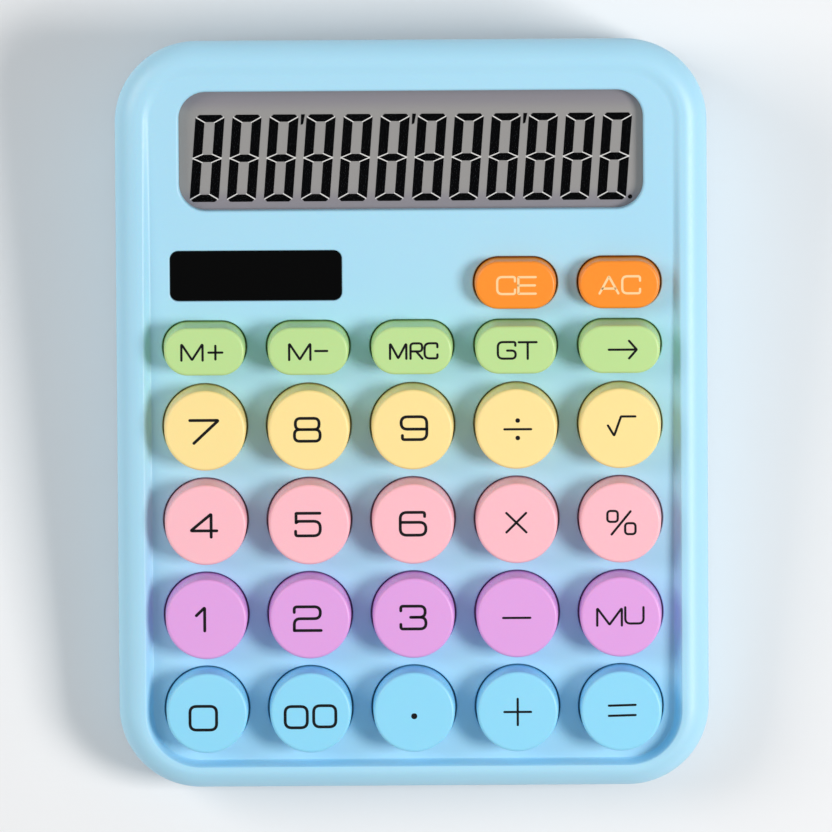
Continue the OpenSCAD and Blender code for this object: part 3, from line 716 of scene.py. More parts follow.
GLYPHS: dict[str, tuple[Stroke, ...]] = {
    "0": (box_stroke(-2.7, -2.45, 2.7, 2.45, BEND),),
    "0_narrow": (box_stroke(-2.25, -2.2, 2.25, 2.2, BEND),),
    "1": (Stroke(((-0.95, 0.75), (0.75, 2.4), (0.75, -2.4))),),
    "2": (
        Stroke(
            ((-2.7, 1.3), (-2.7, 2.45), (2.6, 2.45), (2.6, 0.0), (-2.7, 0.0), (-2.7, -2.45)), BEND
        ),
        Stroke(((-2.7, -2.0), (-2.7, -2.45), (2.75, -2.45))),
    ),
    "3": (
        Stroke(((-2.5, 1.4), (-2.5, 2.35), (2.45, 2.35), (2.45, 0.05), (-0.5, 0.05)), BEND),
        Stroke(((-0.5, 0.05), (2.6, 0.05), (2.6, -2.35), (-2.5, -2.35), (-2.5, -1.4)), BEND),
    ),
    "4": (Stroke(((1.5, -2.4), (1.5, 2.35), (-2.65, -1.1), (2.65, -1.1))),),
    "5": (
        Stroke(((2.45, 2.3), (-2.4, 2.3), (-2.4, 0.35))),
        Stroke(
            ((-2.4, 0.35), (-2.0, 0.65), (2.5, 0.65), (2.5, -2.35), (-2.5, -2.35), (-2.5, -1.4)), BEND
        ),
    ),
    "6": (
        Stroke(
            (
                (2.35, 1.5),
                (2.35, 2.35),
                (-2.6, 2.35),
                (-2.6, -2.35),
                (2.6, -2.35),
                (2.6, 0.3),
                (-2.6, 0.3),
            ),
            BEND,
        ),
    ),
    "7": (Stroke(((-2.95, 2.3), (2.85, 2.3), (-2.15, -2.4))),),
    "8": (
        box_stroke(-2.4, 0.05, 2.4, 2.35, LETTER_BEND),
        box_stroke(-2.6, -2.35, 2.6, 0.05, LETTER_BEND),
    ),
    "9": (
        Stroke(
            (
                (-2.35, -1.5),
                (-2.35, -2.35),
                (2.6, -2.35),
                (2.6, 2.35),
                (-2.6, 2.35),
                (-2.6, -0.2),
                (2.6, -0.2),
            ),
            BEND,
        ),
    ),
    ".": (dot_stroke(0.0, 0.0, 0.62),),
    "divide": (
        Stroke(((-2.7, 0.0), (2.7, 0.0))),
        dot_stroke(0.0, 1.8, 0.46),
        dot_stroke(0.0, -1.8, 0.46),
    ),
    "root": (Stroke(((-2.75, 0.15), (-1.5, -1.95), (-0.1, 2.0), (2.8, 2.0))),),
    "times": (Stroke(((-2.0, 2.0), (2.05, -2.0))), Stroke(((2.0, 2.0), (-2.0, -2.0)))),
    "percent": (
        box_stroke(-2.85, 0.15, -0.75, 2.4, 0.7),
        box_stroke(0.75, -2.4, 2.85, -0.15, 0.7),
        Stroke(((1.85, 2.3), (-2.0, -2.45))),
    ),
    "minus": (Stroke(((-2.75, 0.0), (2.75, 0.0))),),
    "plus": (Stroke(((-2.7, 0.0), (2.7, 0.0))), Stroke(((0.0, -2.7), (0.0, 2.7)))),
    "equals": (Stroke(((-2.7, 0.98), (2.7, 1.12))), Stroke(((-2.7, -1.12), (2.7, -0.98)))),
    "arrow": (
        Stroke(((-2.8, 0.0), (2.7, 0.0))),
        Stroke(((1.3, 1.8), (2.85, 0.0), (1.3, -1.8))),
    ),
    "small_plus": (Stroke(((-1.4, 0.0), (1.4, 0.0))), Stroke(((0.0, -1.4), (0.0, 1.4)))),
    "small_minus": (Stroke(((-1.2, 0.0), (1.2, 0.0))),),
    "M": (Stroke(((-2.15, -1.7), (-2.15, 1.7), (0.0, -1.6), (2.15, 1.7), (2.15, -1.7))),),
    "M_narrow": (Stroke(((-1.65, -1.6), (-1.65, 1.6), (0.0, -1.5), (1.65, 1.6), (1.65, -1.6))),),
    "R": (
        Stroke(((-1.15, -1.6), (-1.15, 1.55), (1.2, 1.55), (1.2, -0.1), (-1.15, -0.1)), 0.7),
        Stroke(((0.0, -0.1), (1.25, -1.6))),
    ),
    "C_narrow": (
        Stroke(
            ((1.3, 0.75), (1.3, 1.55), (-1.3, 1.55), (-1.3, -1.55), (1.3, -1.55), (1.3, -0.75)),
            LETTER_BEND,
        ),
    ),
    "C": (
        Stroke(
            ((1.8, 0.85), (1.8, 1.75), (-1.8, 1.75), (-1.8, -1.75), (1.8, -1.75), (1.8, -0.85)),
            LETTER_BEND,
        ),
    ),
    "E": (
        Stroke(((1.75, 1.7), (-1.75, 1.7), (-1.75, -1.7), (1.75, -1.7))),
        Stroke(((-1.75, 0.0), (1.6, 0.0))),
    ),
    "A": (Stroke(((-1.9, -1.75), (0.0, 1.75), (1.9, -1.75))), Stroke(((-1.35, -0.75), (1.35, -0.75)))),
    "G": (
        Stroke(
            (
                (1.75, 0.95),
                (1.75, 1.7),
                (-1.8, 1.7),
                (-1.8, -1.7),
                (1.8, -1.7),
                (1.8, -0.05),
                (0.1, -0.05),
            ),
            LETTER_BEND,
        ),
    ),
    "T": (Stroke(((-1.8, 1.65), (1.8, 1.65))), Stroke(((0.0, 1.65), (0.0, -1.75)))),
    "M_wide": (Stroke(((-2.5, -1.8), (-2.5, 1.8), (0.0, -1.6), (2.5, 1.8), (2.5, -1.8))),),
    "U": (Stroke(((-1.85, 1.8), (-1.85, -1.55), (1.85, -1.55), (1.85, 1.8)), LETTER_BEND),),
}


@dataclass(frozen=True)
class KeySpec:
    """One key: its CAD node, its colour, and the glyphs of its legend with their places in mm."""

    name: str
    colour: KeyColour
    legend: Legend
    oval: bool = False


def keys_of(colour: KeyColour, *legends: tuple[str, Legend], oval: bool = False) -> list[KeySpec]:
    """Specs of the keys of one colour.

    Args:
        colour: The colour that they share.
        legends: The name of each key and the glyphs of its legend.
        oval: Whether they are oval instead of round.

    Returns:
        One spec a key.
    """
    return [KeySpec("key_" + name, colour, legend, oval) for name, legend in legends]


KEYS: list[KeySpec] = [
    *keys_of(
        KeyColour.YELLOW,
        ("7", (("7", -0.1, -0.1),)),
        ("8", (("8", -0.3, 0.15),)),
        ("9", (("9", 0.3, 0.35),)),
        ("divide", (("divide", 0.3, 0.0),)),
        ("root", (("root", 0.3, 0.5),)),
    ),
    *keys_of(
        KeyColour.PINK,
        ("4", (("4", -0.4, 0.0),)),
        ("5", (("5", -0.3, 0.1),)),
        ("6", (("6", 0.0, 0.1),)),
        ("times", (("times", -0.1, 0.2),)),
        ("percent", (("percent", 0.2, 0.1),)),
    ),
    *keys_of(
        KeyColour.PURPLE,
        ("1", (("1", -1.1, 0.1),)),
        ("2", (("2", -0.5, 0.1),)),
        ("3", (("3", -0.1, 0.2),)),
        ("minus", (("minus", -0.1, 0.0),)),
        ("markup", (("M_wide", -2.3, 0.1), ("U", 2.75, 0.25))),
    ),
    *keys_of(
        KeyColour.SKY,
        ("0", (("0", -0.8, -0.9),)),
        ("00", (("0_narrow", -2.95, -0.8), ("0_narrow", 2.85, -0.65))),
        ("point", ((".", 0.0, -0.75),)),
        ("plus", (("plus", 0.0, 0.0),)),
        ("equals", (("equals", 0.2, 0.2),)),
    ),
    *keys_of(
        KeyColour.GREEN,
        ("m_plus", (("M", -2.5, 0.0), ("small_plus", 2.25, -0.1))),
        ("m_minus", (("M", -1.7, 0.0), ("small_minus", 2.65, 0.1))),
        ("mrc", (("M_narrow", -2.8, 0.0), ("R", 0.85, 0.0), ("C_narrow", 3.85, 0.0))),
        ("gt", (("G", -1.85, 0.0), ("T", 2.4, 0.0))),
        ("back", (("arrow", 0.6, 0.0),)),
        oval=True,
    ),
    *keys_of(
        KeyColour.ORANGE,
        ("ce", (("C", -1.9, 0.0), ("E", 2.35, 0.0))),
        ("ac", (("A", -2.1, 0.0), ("C", 2.4, 0.0))),
        oval=True,
    ),
]

# Points of a stroke that are nearer than this, in millimetres, count as one.
LEAST_STEP_MM = 1e-4
# Angles at which the round end of a stroke is stepped, in degrees.
END_STEPS_DEG = (30, 55, 78)


@dataclass
class Keycap:
    """A hollow moulded keycap with a retaining flange, a plunger and a printed legend."""

    spec: KeySpec
    panel: PanelFrame
    flange_w: float = 1.0 * MM
    draft: float = 0.2 * MM
    edge_r: float = 0.65 * MM
    wall: float = 1.1 * MM
    top_t: float = 1.5 * MM
    flange_t: float = 1.0 * MM
    flange_gap: float = 0.1 * MM
    flange_edge: float = 0.1 * MM
    root_edge: float = 0.08 * MM
    plunger_r: float = 2.2 * MM
    plunger_tip: float = 0.2 * MM
    plunger_steps: int = 24
    oval_corner: float = 5.95 * MM
    oval_steps: int = 16
    digit_pen: float = 0.6 * MM
    letter_pen: float = 0.47 * MM
    ink_t: float = 0.02 * MM
    edge_steps: int = 6
    material: bpy.types.Material | None = None
    ink: bpy.types.Material | None = None
    low: Vector = field(init=False)
    high: Vector = field(init=False)

    def __post_init__(self) -> None:
        """Measures the CAD key in the panel's frame."""
        self.low, self.high = self.panel.extents(self.spec.name)

    @property
    def pen(self) -> float:
        """Width of the legend's lines, in metres: the digits are bolder than the other marks."""
        first = self.spec.legend[0][0]
        return self.digit_pen if first[0].isdigit() or first == "." else self.letter_pen

    @property
    def centre(self) -> tuple[float, float]:
        """Middle of the key on the panel."""
        return (self.low.x + self.high.x) / 2, (self.low.y + self.high.y) / 2

    def outline(self, inset: float) -> list[Point]:
        """Outline of the key at a distance in from its flange's edge.

        Args:
            inset: The distance, in metres.

        Returns:
            The outline about the key's middle.
        """
        width = self.high.x - self.low.x - 2 * inset
        length = self.high.y - self.low.y - 2 * inset
        if self.spec.oval:
            return rounded_outline(width, length, self.oval_corner - inset, self.oval_steps)
        return circle_outline(width / 2)

    def profile(self) -> list[Point]:
        """Works out the outside from the flange's bottom up to the top.

        Returns:
            Inset and height of each ring.
        """
        top = self.high.z
        skirt_top = -self.panel.thickness - self.flange_gap
        edge = self.flange_edge
        rows = [
            (edge, skirt_top - self.flange_t),
            (0.0, skirt_top - self.flange_t + edge),
            (0.0, skirt_top - edge),
            (edge, skirt_top),
            (self.flange_w - self.root_edge, skirt_top),
            (self.flange_w, skirt_top + self.root_edge),
        ]
        for i in range(self.edge_steps + 1):
            a = math.radians(90 * i / self.edge_steps)
            rows.append(
                (
                    self.flange_w + self.draft + self.edge_r * (1 - math.cos(a)),
                    top - self.edge_r * (1 - math.sin(a)),
                )
            )
        return rows

    def build(self) -> bpy.types.Object:
        """Builds the keycap.

        Returns:
            The keycap, riding on its own body in place of its CAD node.
        """
        shell = Shell(self.spec.name + "_cap")
        u, v = self.centre
        rows = self.profile()
        outer = shell.stack([self.panel.ring(self.outline(i), u, v, w) for i, w in rows])
        shell.cap(outer[-1])
        ceiling = self.high.z - self.top_t
        inner = shell.stack(
            [
                self.panel.ring(self.outline(self.flange_w + self.wall), u, v, rows[0][1]),
                self.panel.ring(self.outline(self.flange_w + self.draft + self.wall), u, v, ceiling),
            ]
        )
        shell.plate([outer[0], inner[0]])
        post = circle_outline(self.plunger_r, self.plunger_steps)
        tip = circle_outline(self.plunger_r - self.plunger_tip, self.plunger_steps)
        stem = shell.stack(
            [
                self.panel.ring(post, u, v, ceiling),
                self.panel.ring(post, u, v, self.low.z + self.plunger_tip),
                self.panel.ring(tip, u, v, self.low.z),
            ]
        )
        shell.cap(stem[-1], flip=True)
        shell.plate([inner[1], stem[0]])
        cap = shell.finish(self.material)
        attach(cap, self.spec.name)
        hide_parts(self.spec.name)
        return cap

    def print_stroke(self, shell: Shell, stroke: Stroke, dx: float, dy: float) -> None:
        """Lays one line of ink on the key's top.

        Args:
            shell: The legend's mesh.
            stroke: The line, in millimetres.
            dx: Place of the glyph to the right of the key's middle, in millimetres.
            dy: Place of the glyph above the key's middle, in millimetres.
        """
        path = [Vector(p) for p in rounded_path(stroke.points, stroke.radius, stroke.closed)]
        path = [p for i, p in enumerate(path) if i == 0 or (p - path[i - 1]).length > LEAST_STEP_MM]
        if stroke.closed and (path[0] - path[-1]).length < LEAST_STEP_MM:
            path.pop()
        half = self.pen / MM / 2
        count = len(path)
        left: list[Vector] = []
        right: list[Vector] = []
        for i in range(count):
            a = path[i - 1] if stroke.closed or i > 0 else path[i]
            b = path[(i + 1) % count] if stroke.closed or i < count - 1 else path[i]
            along = (b - a).normalized()
            side = Vector((-along.y, along.x)) * half
            left.append(path[i] + side)
            right.append(path[i] - side)
        if not stroke.closed:
            left, right = self.add_round_ends(path, left, right, half)
        u, v = self.centre
        top = self.high.z
        rings = []
        for w in (top - self.ink_t, top + self.ink_t):
            for row in (left, right):
                places = [(u + (p.x + dx) * MM, v + (p.y + dy) * MM) for p in row]
                rings.append(shell.ring([self.panel.world(x, y, w) for x, y in places]))
        low_left, low_right, high_left, high_right = rings
        total = len(left)
        for i in range(total if stroke.closed else total - 1):
            j = (i + 1) % total
            shell.mesh.faces.new((high_right[i], high_right[j], high_left[j], high_left[i]))
            shell.mesh.faces.new((low_right[j], low_right[i], low_left[i], low_left[j]))
            shell.mesh.faces.new((low_right[i], low_right[j], high_right[j], high_right[i]))
            shell.mesh.faces.new((high_left[i], high_left[j], low_left[j], low_left[i]))
        if not stroke.closed:
            shell.mesh.faces.new((low_left[0], low_right[0], high_right[0], high_left[0]))
            shell.mesh.faces.new((low_right[-1], low_left[-1], high_left[-1], high_right[-1]))

    @staticmethod
    def add_round_ends(
        path: list[Vector], left: list[Vector], right: list[Vector], half: float
    ) -> tuple[list[Vector], list[Vector]]:
        """Adds narrowing pairs of points beyond both ends of a line, so that it ends round.

        Args:
            path: Middle of the line.
            left: Its left side.
            right: Its right side.
            half: Half its width.

        Returns:
            The longer left and right sides.
        """
        angles = [math.radians(a) for a in END_STEPS_DEG]
        for end, step in ((0, 1), (-1, -1)):
            out = (path[end] - path[end + step]).normalized()
            side = (left[end] - path[end]) / half
            pairs = [
                (
                    path[end] + out * half * math.sin(a) + side * half * math.cos(a),
                    path[end] + out * half * math.sin(a) - side * half * math.cos(a),
                )
                for a in angles
            ]
            if end == 0:
                left = [p[0] for p in reversed(pairs)] + left
                right = [p[1] for p in reversed(pairs)] + right
            else:
                left = left + [p[0] for p in pairs]
                right = right + [p[1] for p in pairs]
        return left, right

    def print_legend(self) -> bpy.types.Object:
        """Prints the legend on the key.

        Returns:
            The ink, riding on the key's body.
        """
        shell = Shell(self.spec.name + "_legend")
        for glyph, dx, dy in self.spec.legend:
            for stroke in GLYPHS[glyph]:
                self.print_stroke(shell, stroke, dx, dy)
        ink = shell.finish(self.ink)
        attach(ink, self.spec.name)
        return ink


# ---------------------------------------------------------------- case


@dataclass
class UpperCase:
    """The upper half: a rounded rim round a sunk key panel with its holes and windows."""

    panel: PanelFrame
    low: Vector
    high: Vector
    front_rim_z: float = 14.9 * MM
    rear_rim_z: float = 34.6 * MM
    corner_r: float = 16.5 * MM
    flank_w: float = 4.6 * MM
    front_flank_w: float = 3.2 * MM
    flank_h: float = 4.4 * MM
    flank_power: float = 1.7
    rim_w: float = 6.2 * MM
    front_rim_w: float = 4.8 * MM
    wall_spread: float = 0.9 * MM
    rear_wall: float = 6.1 * MM
    rear_wall_spread: float = 1.2 * MM
    inner_inset: float = 4.6 * MM
    seam: float = 0.16 * MM
    seam_share: float = 0.3
    hole_gap: float = 0.26 * MM
    hole_edge: float = 0.25 * MM
    window_border: float = 1.5 * MM
    window_edge: float = 0.6 * MM
    window_r: float = 5.5 * MM
    window_steps: int = 20
    solar_gap: float = 0.1 * MM
    solar_edge: float = 0.35 * MM
    solar_r: float = 1.7 * MM
    solar_steps: int = 12
    corner_steps: int = 24
    side_steps: int = 30
    flank_steps: int = 12
    wall_steps: int = 12
    mouth_steps: int = 4
    material: bpy.types.Material | None = None

    def rim_z(self, y: float) -> float:
        """Height of the rim plane at a place along Y."""
        t = (y - self.low.y) / (self.high.y - self.low.y)
        return self.front_rim_z + (self.rear_rim_z - self.front_rim_z) * t

    def outline(self, side: float, front: float, rear: float) -> list[Point]:
        """Outline of the case, set in by a distance on every side.

        Args:
            side: The distance at the left and the right.
            front: The distance at the front.
            rear: The distance at the rear.

        Returns:
            The outline about the row's origin.
        """
        width = self.high.x - self.low.x - 2 * side
        length = self.high.y - self.low.y - front - rear
        points = rounded_outline(width, length, self.corner_r - side, self.corner_steps, self.side_steps)
        return [(x, y + (front - rear) / 2) for x, y in points]

    def at(self, outline: Sequence[Point], height: Callable[[float], float]) -> Ring:
        """Lifts an outline to a height that depends on Y."""
        return [Vector((x, y, height(y))) for x, y in outline]

    def outer_rings(self) -> list[Ring]:
        """Works out the outside of the shell.

        Returns:
            Rings from the parting line up the flank, over the rim and down to the panel.
        """
        base = self.low.z
        seam = self.seam
        part = seam * self.seam_share
        rings = [
            self.at(self.outline(seam, seam, seam), lambda y: base),
            self.at(self.outline(part, part, part), lambda y: base + part),
            self.at(self.outline(0, 0, 0), lambda y: base + seam),
        ]
        for i in range(self.flank_steps + 1):
            a = math.radians(90 * i / self.flank_steps)
            inward = 1 - math.cos(a) ** (2 / self.flank_power)
            drop = self.flank_h * (1 - math.sin(a) ** (2 / self.flank_power))
            side = self.flank_w * inward
            shape = self.outline(side, self.front_flank_w * inward, side)
            rings.append(self.at(shape, lambda y, d=drop: self.rim_z(y) - d))
        for i in range(self.wall_steps + 1):
            t = i / self.wall_steps
            sunk = 0.5 - 0.5 * math.cos(math.pi * t)
            shift = self.wall_spread * (2 * t - 1)
            rear = self.rear_wall + self.rear_wall_spread * (2 * t - 1)
            shape = self.outline(self.rim_w + shift, self.front_rim_w + shift, rear)

            def height(y: float, s: float = sunk) -> float:
                """Height of the wall, a share of the way from the rim down to the panel."""
                return self.rim_z(y) + (self.panel.height_at(y) - self.rim_z(y)) * s

            rings.append(self.at(shape, height))
        return rings

    def hole(
        self, shell: Shell, outline: Callable[[float], list[Point]], u: float, v: float, edge: float
    ) -> tuple[VertRing, VertRing]:
        """Cuts the wall of one hole, with a rounded mouth.

        Args:
            shell: The case's mesh.
            outline: Gives the hole's outline, grown by a distance.
            u: Place of the hole across the panel.
            v: Place of the hole up the slope.
            edge: Radius of the mouth.

        Returns:
            The ring at the panel's face and the one at its underside.
        """
        rings = []
        for i in range(self.mouth_steps + 1):
            a = math.radians(90 * i / self.mouth_steps)
            grown = edge * (1 - math.sin(a))
            rings.append(self.panel.ring(outline(grown), u, v, -edge * (1 - math.cos(a))))
        rings.append(self.panel.ring(outline(0.0), u, v, -self.panel.thickness))
        made = shell.stack(rings)
        return made[0], made[-1]

    def key_holes(self, shell: Shell) -> list[tuple[VertRing, VertRing]]:
        """Cuts a hole round every key.

        Args:
            shell: The case's mesh.

        Returns:
            The upper and the lower ring of each hole.
        """
        pairs = []
        for spec in KEYS:
            cap = Keycap(spec, self.panel)
            u, v = cap.centre

            def outline(grown: float, cap: Keycap = cap) -> list[Point]:
                """Outline of the hole round this key."""
                return cap.outline(cap.flange_w - self.hole_gap - grown)

            pairs.append(self.hole(shell, outline, u, v, self.hole_edge))
        return pairs

    def window_holes(self, shell: Shell) -> list[tuple[VertRing, VertRing]]:
        """Cuts the display opening and the solar opening.

        Args:
            shell: The case's mesh.

        Returns:
            The upper and the lower ring of each opening.
        """
        low, high = self.panel.extents("display_window")
        width = high.x - low.x - 2 * self.window_border
        length = high.y - low.y - 2 * self.window_border
        solar_low, solar_high = self.panel.extents("solar_window")
        solar_w = solar_high.x - solar_low.x + 2 * self.solar_gap
        solar_l = solar_high.y - solar_low.y + 2 * self.solar_gap

        solar_u = (solar_low.x + solar_high.x) / 2
        solar_v = (solar_low.y + solar_high.y) / 2

        def display(grown: float) -> list[Point]:
            """Outline of the display opening."""
            corner = self.window_r + grown
            return rounded_outline(width + 2 * grown, length + 2 * grown, corner, self.window_steps)

        def solar(grown: float) -> list[Point]:
            """Outline of the solar opening."""
            corner = self.solar_r + grown
            return rounded_outline(solar_w + 2 * grown, solar_l + 2 * grown, corner, self.solar_steps)

        return [
            self.hole(shell, display, 0.0, (low.y + high.y) / 2, self.window_edge),
            self.hole(shell, solar, solar_u, solar_v, self.solar_edge),
        ]

    def build(self) -> bpy.types.Object:
        """Builds the upper half.

        Returns:
            The shell, riding on the case in place of its CAD node.
        """
        shell = Shell("upper_case_shell")
        outer = shell.stack(self.outer_rings())
        pairs = self.key_holes(shell) + self.window_holes(shell)
        shell.plate([outer[-1], *(p[0] for p in pairs)])
        inset = self.inner_inset
        under = self.panel.thickness / self.panel.normal.z
        floor = self.low.z
        inner = shell.stack(
            [
                self.at(self.outline(inset, inset, inset), lambda y: floor),
                self.at(self.outline(inset, inset, inset), lambda y: self.panel.height_at(y) - under),
            ]
        )
        shell.plate([outer[0], inner[0]])
        shell.plate([inner[1], *(p[1] for p in pairs)])
        piece = shell.finish(self.material)
        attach(piece, "case")
        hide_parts("front_case")
        return piece


# ---------------------------------------------------------------- display and solar cell


# A thousands mark in millimetres: the foot's corners from the foot of the top bar, then the head's
# corners from the top of the digit.
TICK_FOOT = ((-0.3, -0.6), (0.2, -0.4))
TICK_HEAD = ((0.45, -0.1), (-0.35, -0.1))


@dataclass
class Display:
    """The liquid crystal display with all its segments driven, behind a clear window."""

    panel: PanelFrame
    digits: int = 12
    pitch: float = 7.51 * MM
    digit_w: float = 6.1 * MM
    digit_h: float = 18.1 * MM
    digit_drop: float = 1.7 * MM
    upright_w: float = 2.1 * MM
    bar: float = 1.7 * MM
    nib: float = 0.6 * MM
    tip: float = 0.2 * MM
    waist: float = 0.25 * MM
    waist_tip: float = 0.05 * MM
    gap: float = 0.1 * MM
    joint_w: float = 0.27 * MM
    joint_nib: float = 0.4 * MM
    joint_over: float = 0.3
    waist_back_mm: float = 0.05
    corner_back_mm: float = 0.3
    point_r: float = 0.45 * MM
    point_y: float = 0.7 * MM
    point_steps: int = 12
    slant_deg: float = 4.4
    lift: float = 0.02 * MM
    segment_lift: float = 1.5
    joint_lift: float = 0.6
    joint_film: float = 0.5
    window_edge: float = 0.1 * MM
    window_r: float = 5.5 * MM
    window_steps: int = 16

    def place(self, shell: Shell, index: int, points: Sequence[Point], w: float, t: float) -> None:
        """Adds one flat film shape of a digit.

        Args:
            shell: The mesh to add to.
            index: Which digit, from the left.
            points: Outline in the digit's own upright frame, in metres.
            w: Height of its face on the panel.
            t: Thickness of the film.
        """
        low, high = self.panel.extents("display_window")
        mid_v = (low.y + high.y) / 2 - self.digit_drop
        lean = math.tan(math.radians(self.slant_deg))
        left = (index - (self.digits - 1) / 2) * self.pitch - self.digit_w / 2
        half_h = self.digit_h / 2
        flat = [(left + x + (y - half_h) * lean, y - half_h + mid_v) for x, y in points]
        made = shell.stack([[self.panel.world(u, v, h) for u, v in flat] for h in (w - t, w)])
        shell.cap(made[0], flip=True)
        shell.cap(made[1])

    def segments(self) -> list[list[Point]]:
        """Draws the seven segments of an upright digit.

        Returns:
            Their outlines, anticlockwise from the digit's lower left corner.
        """
        w, h, bar, post = self.digit_w, self.digit_h, self.bar, self.upright_w
        mid, half = h / 2, bar / 2
        nib, tip = self.nib, self.tip
        top = [
            (post, h - bar),
            (w - post, h - bar),
            (w - tip, h - nib),
            (w - nib - tip, h),
            (nib + tip, h),
            (tip, h - nib),
        ]
        upper_left = [
            (0.0, mid + self.waist),
            (tip, mid + self.waist_tip),
            (post, mid + half),
            (post, h - bar),
            (0.0, h - nib),
        ]
        middle = [
            (tip, mid),
            (post, mid - half),
            (w - post, mid - half),
            (w - tip, mid),
            (w - post, mid + half),
            (post, mid + half),
        ]
        lower_left = [
            (post, bar),
            (post, mid - half),
            (tip, mid - self.waist_tip),
            (0.0, mid - self.waist),
            (0.0, nib),
        ]
        shapes = [top, upper_left, middle, lower_left]
        shapes.append([(x, h - y) for x, y in reversed(top)])
        shapes.append([(w - x, y) for x, y in reversed(upper_left)])
        shapes.append([(w - x, y) for x, y in reversed(lower_left)])
        return [inset_polygon(shape, self.gap) for shape in shapes]

    def joints(self) -> list[list[Point]]:
        """Draws the clear lines where two segments of an upright digit meet.

        Returns:
            Their outlines, from the digit's lower left corner.
        """
        w, h, bar, post = self.digit_w, self.digit_h, self.bar, self.upright_w
        mid = h / 2
        nib = self.joint_nib
        lines = []
        for x0, x1 in ((0.0, post), (w, w - post)):
            lines.append(((x0, h - nib), (x1, h - bar)))
            lines.append(((x0, nib), (x1, bar)))
            lines.append(((x0, mid), (x1, mid + bar / 2)))
            lines.append(((x0, mid), (x1, mid - bar / 2)))
        shapes = []
        for outer, inner in lines:
            start, end = Vector(outer), Vector(inner)
            along = (end - start).normalized()
            side = Vector((-along.y, along.x)) * self.joint_w / 2
            back_mm = self.waist_back_mm if outer[1] == mid else self.corner_back_mm
            start = start + along * back_mm * MM
            end = end + along * self.joint_w * self.joint_over
            shapes.append([tuple(p) for p in (start + side, start - side, end - side, end + side)])
        return shapes

    def marks(self) -> list[tuple[int, list[Point]]]:
        """Draws the thousands marks and the decimal point.

        Returns:
            The digit that each one follows, and its outline from that digit's lower left corner.
        """
        x = self.digit_w + (self.pitch - self.digit_w) / 2
        foot = [(x + dx * MM, self.digit_h - self.bar + dy * MM) for dx, dy in TICK_FOOT]
        head = [(x + dx * MM, self.digit_h + dy * MM) for dx, dy in TICK_HEAD]
        shapes = [(index, foot + head) for index in range(2, self.digits - 1, 3)]
        dot = circle_outline(self.point_r, self.point_steps)
        shapes.append((self.digits - 1, [(x + dx, self.point_y + dy) for dx, dy in dot]))
        return shapes

    def build(self) -> list[bpy.types.Object]:
        """Builds the films of the segments, the clear joints and the window.

        Returns:
            The new pieces.
        """
        glass_top = self.panel.extents("lcd_front_glass")[1].z
        joint_top = glass_top + self.lift * self.joint_lift
        segment_top = glass_top + self.lift * self.segment_lift
        black = Shell("lcd_segments")
        clear = Shell("lcd_segment_joints")
        for index in range(self.digits):
            for shape in self.joints():
                self.place(clear, index, shape, joint_top, self.lift * self.joint_film)
            for shape in self.segments():
                self.place(black, index, shape, segment_top, self.lift)
        for index, shape in self.marks():
            self.place(black, index, shape, segment_top, self.lift)
        pieces = [black.finish(SEGMENT_BLACK.build()), clear.finish(SEGMENT_EDGE.build())]
        for piece in pieces:
            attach(piece, "case")
        return pieces + [self.window()]

    def window(self) -> bpy.types.Object:
        """Builds the clear window with its small polished bevel.

        Returns:
            The window, in place of its CAD node.
        """
        low, high = self.panel.extents("display_window")
        mid_v = (low.y + high.y) / 2
        shell = Shell("display_lens")
        rings = []
        for inset, w in (
            (self.window_edge, low.z),
            (0.0, low.z + self.window_edge),
            (0.0, high.z - self.window_edge),
            (self.window_edge, high.z),
        ):
            width, length = high.x - low.x - 2 * inset, high.y - low.y - 2 * inset
            shape = rounded_outline(width, length, self.window_r - inset, self.window_steps)
            rings.append(self.panel.ring(shape, 0.0, mid_v, w))
        made = shell.stack(rings)
        shell.cap(made[0], flip=True)
        shell.cap(made[-1])
        lens = shell.finish(CLEAR_ACRYLIC.build())
        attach(lens, "case")
        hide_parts("display_window")
        return lens


@dataclass
class SolarWindow:
    """The smoked window flush in the panel, over the solar cell."""

    panel: PanelFrame
    corner_r: float = 1.6 * MM
    corner_steps: int = 12
    bevel: float = 0.12 * MM

    def build(self) -> bpy.types.Object:
        """Builds the window.

        Returns:
            The window, in place of its CAD node.
        """
        low, high = self.panel.extents("solar_window")
        u, v = (low.x + high.x) / 2, (low.y + high.y) / 2
        shell = Shell("solar_lens")
        rings = []
        for inset, w in ((0.0, low.z), (0.0, high.z - self.bevel), (self.bevel, high.z)):
            width, length = high.x - low.x - 2 * inset, high.y - low.y - 2 * inset
            shape = rounded_outline(width, length, self.corner_r - inset, self.corner_steps)
            rings.append(self.panel.ring(shape, u, v, w))
        made = shell.stack(rings)
        shell.cap(made[0], flip=True)
        shell.cap(made[-1])
        lens = shell.finish(SOLAR_ACRYLIC.build())
        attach(lens, "case")
        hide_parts("solar_window")
        return lens


# ---------------------------------------------------------------- carried-over CAD nodes


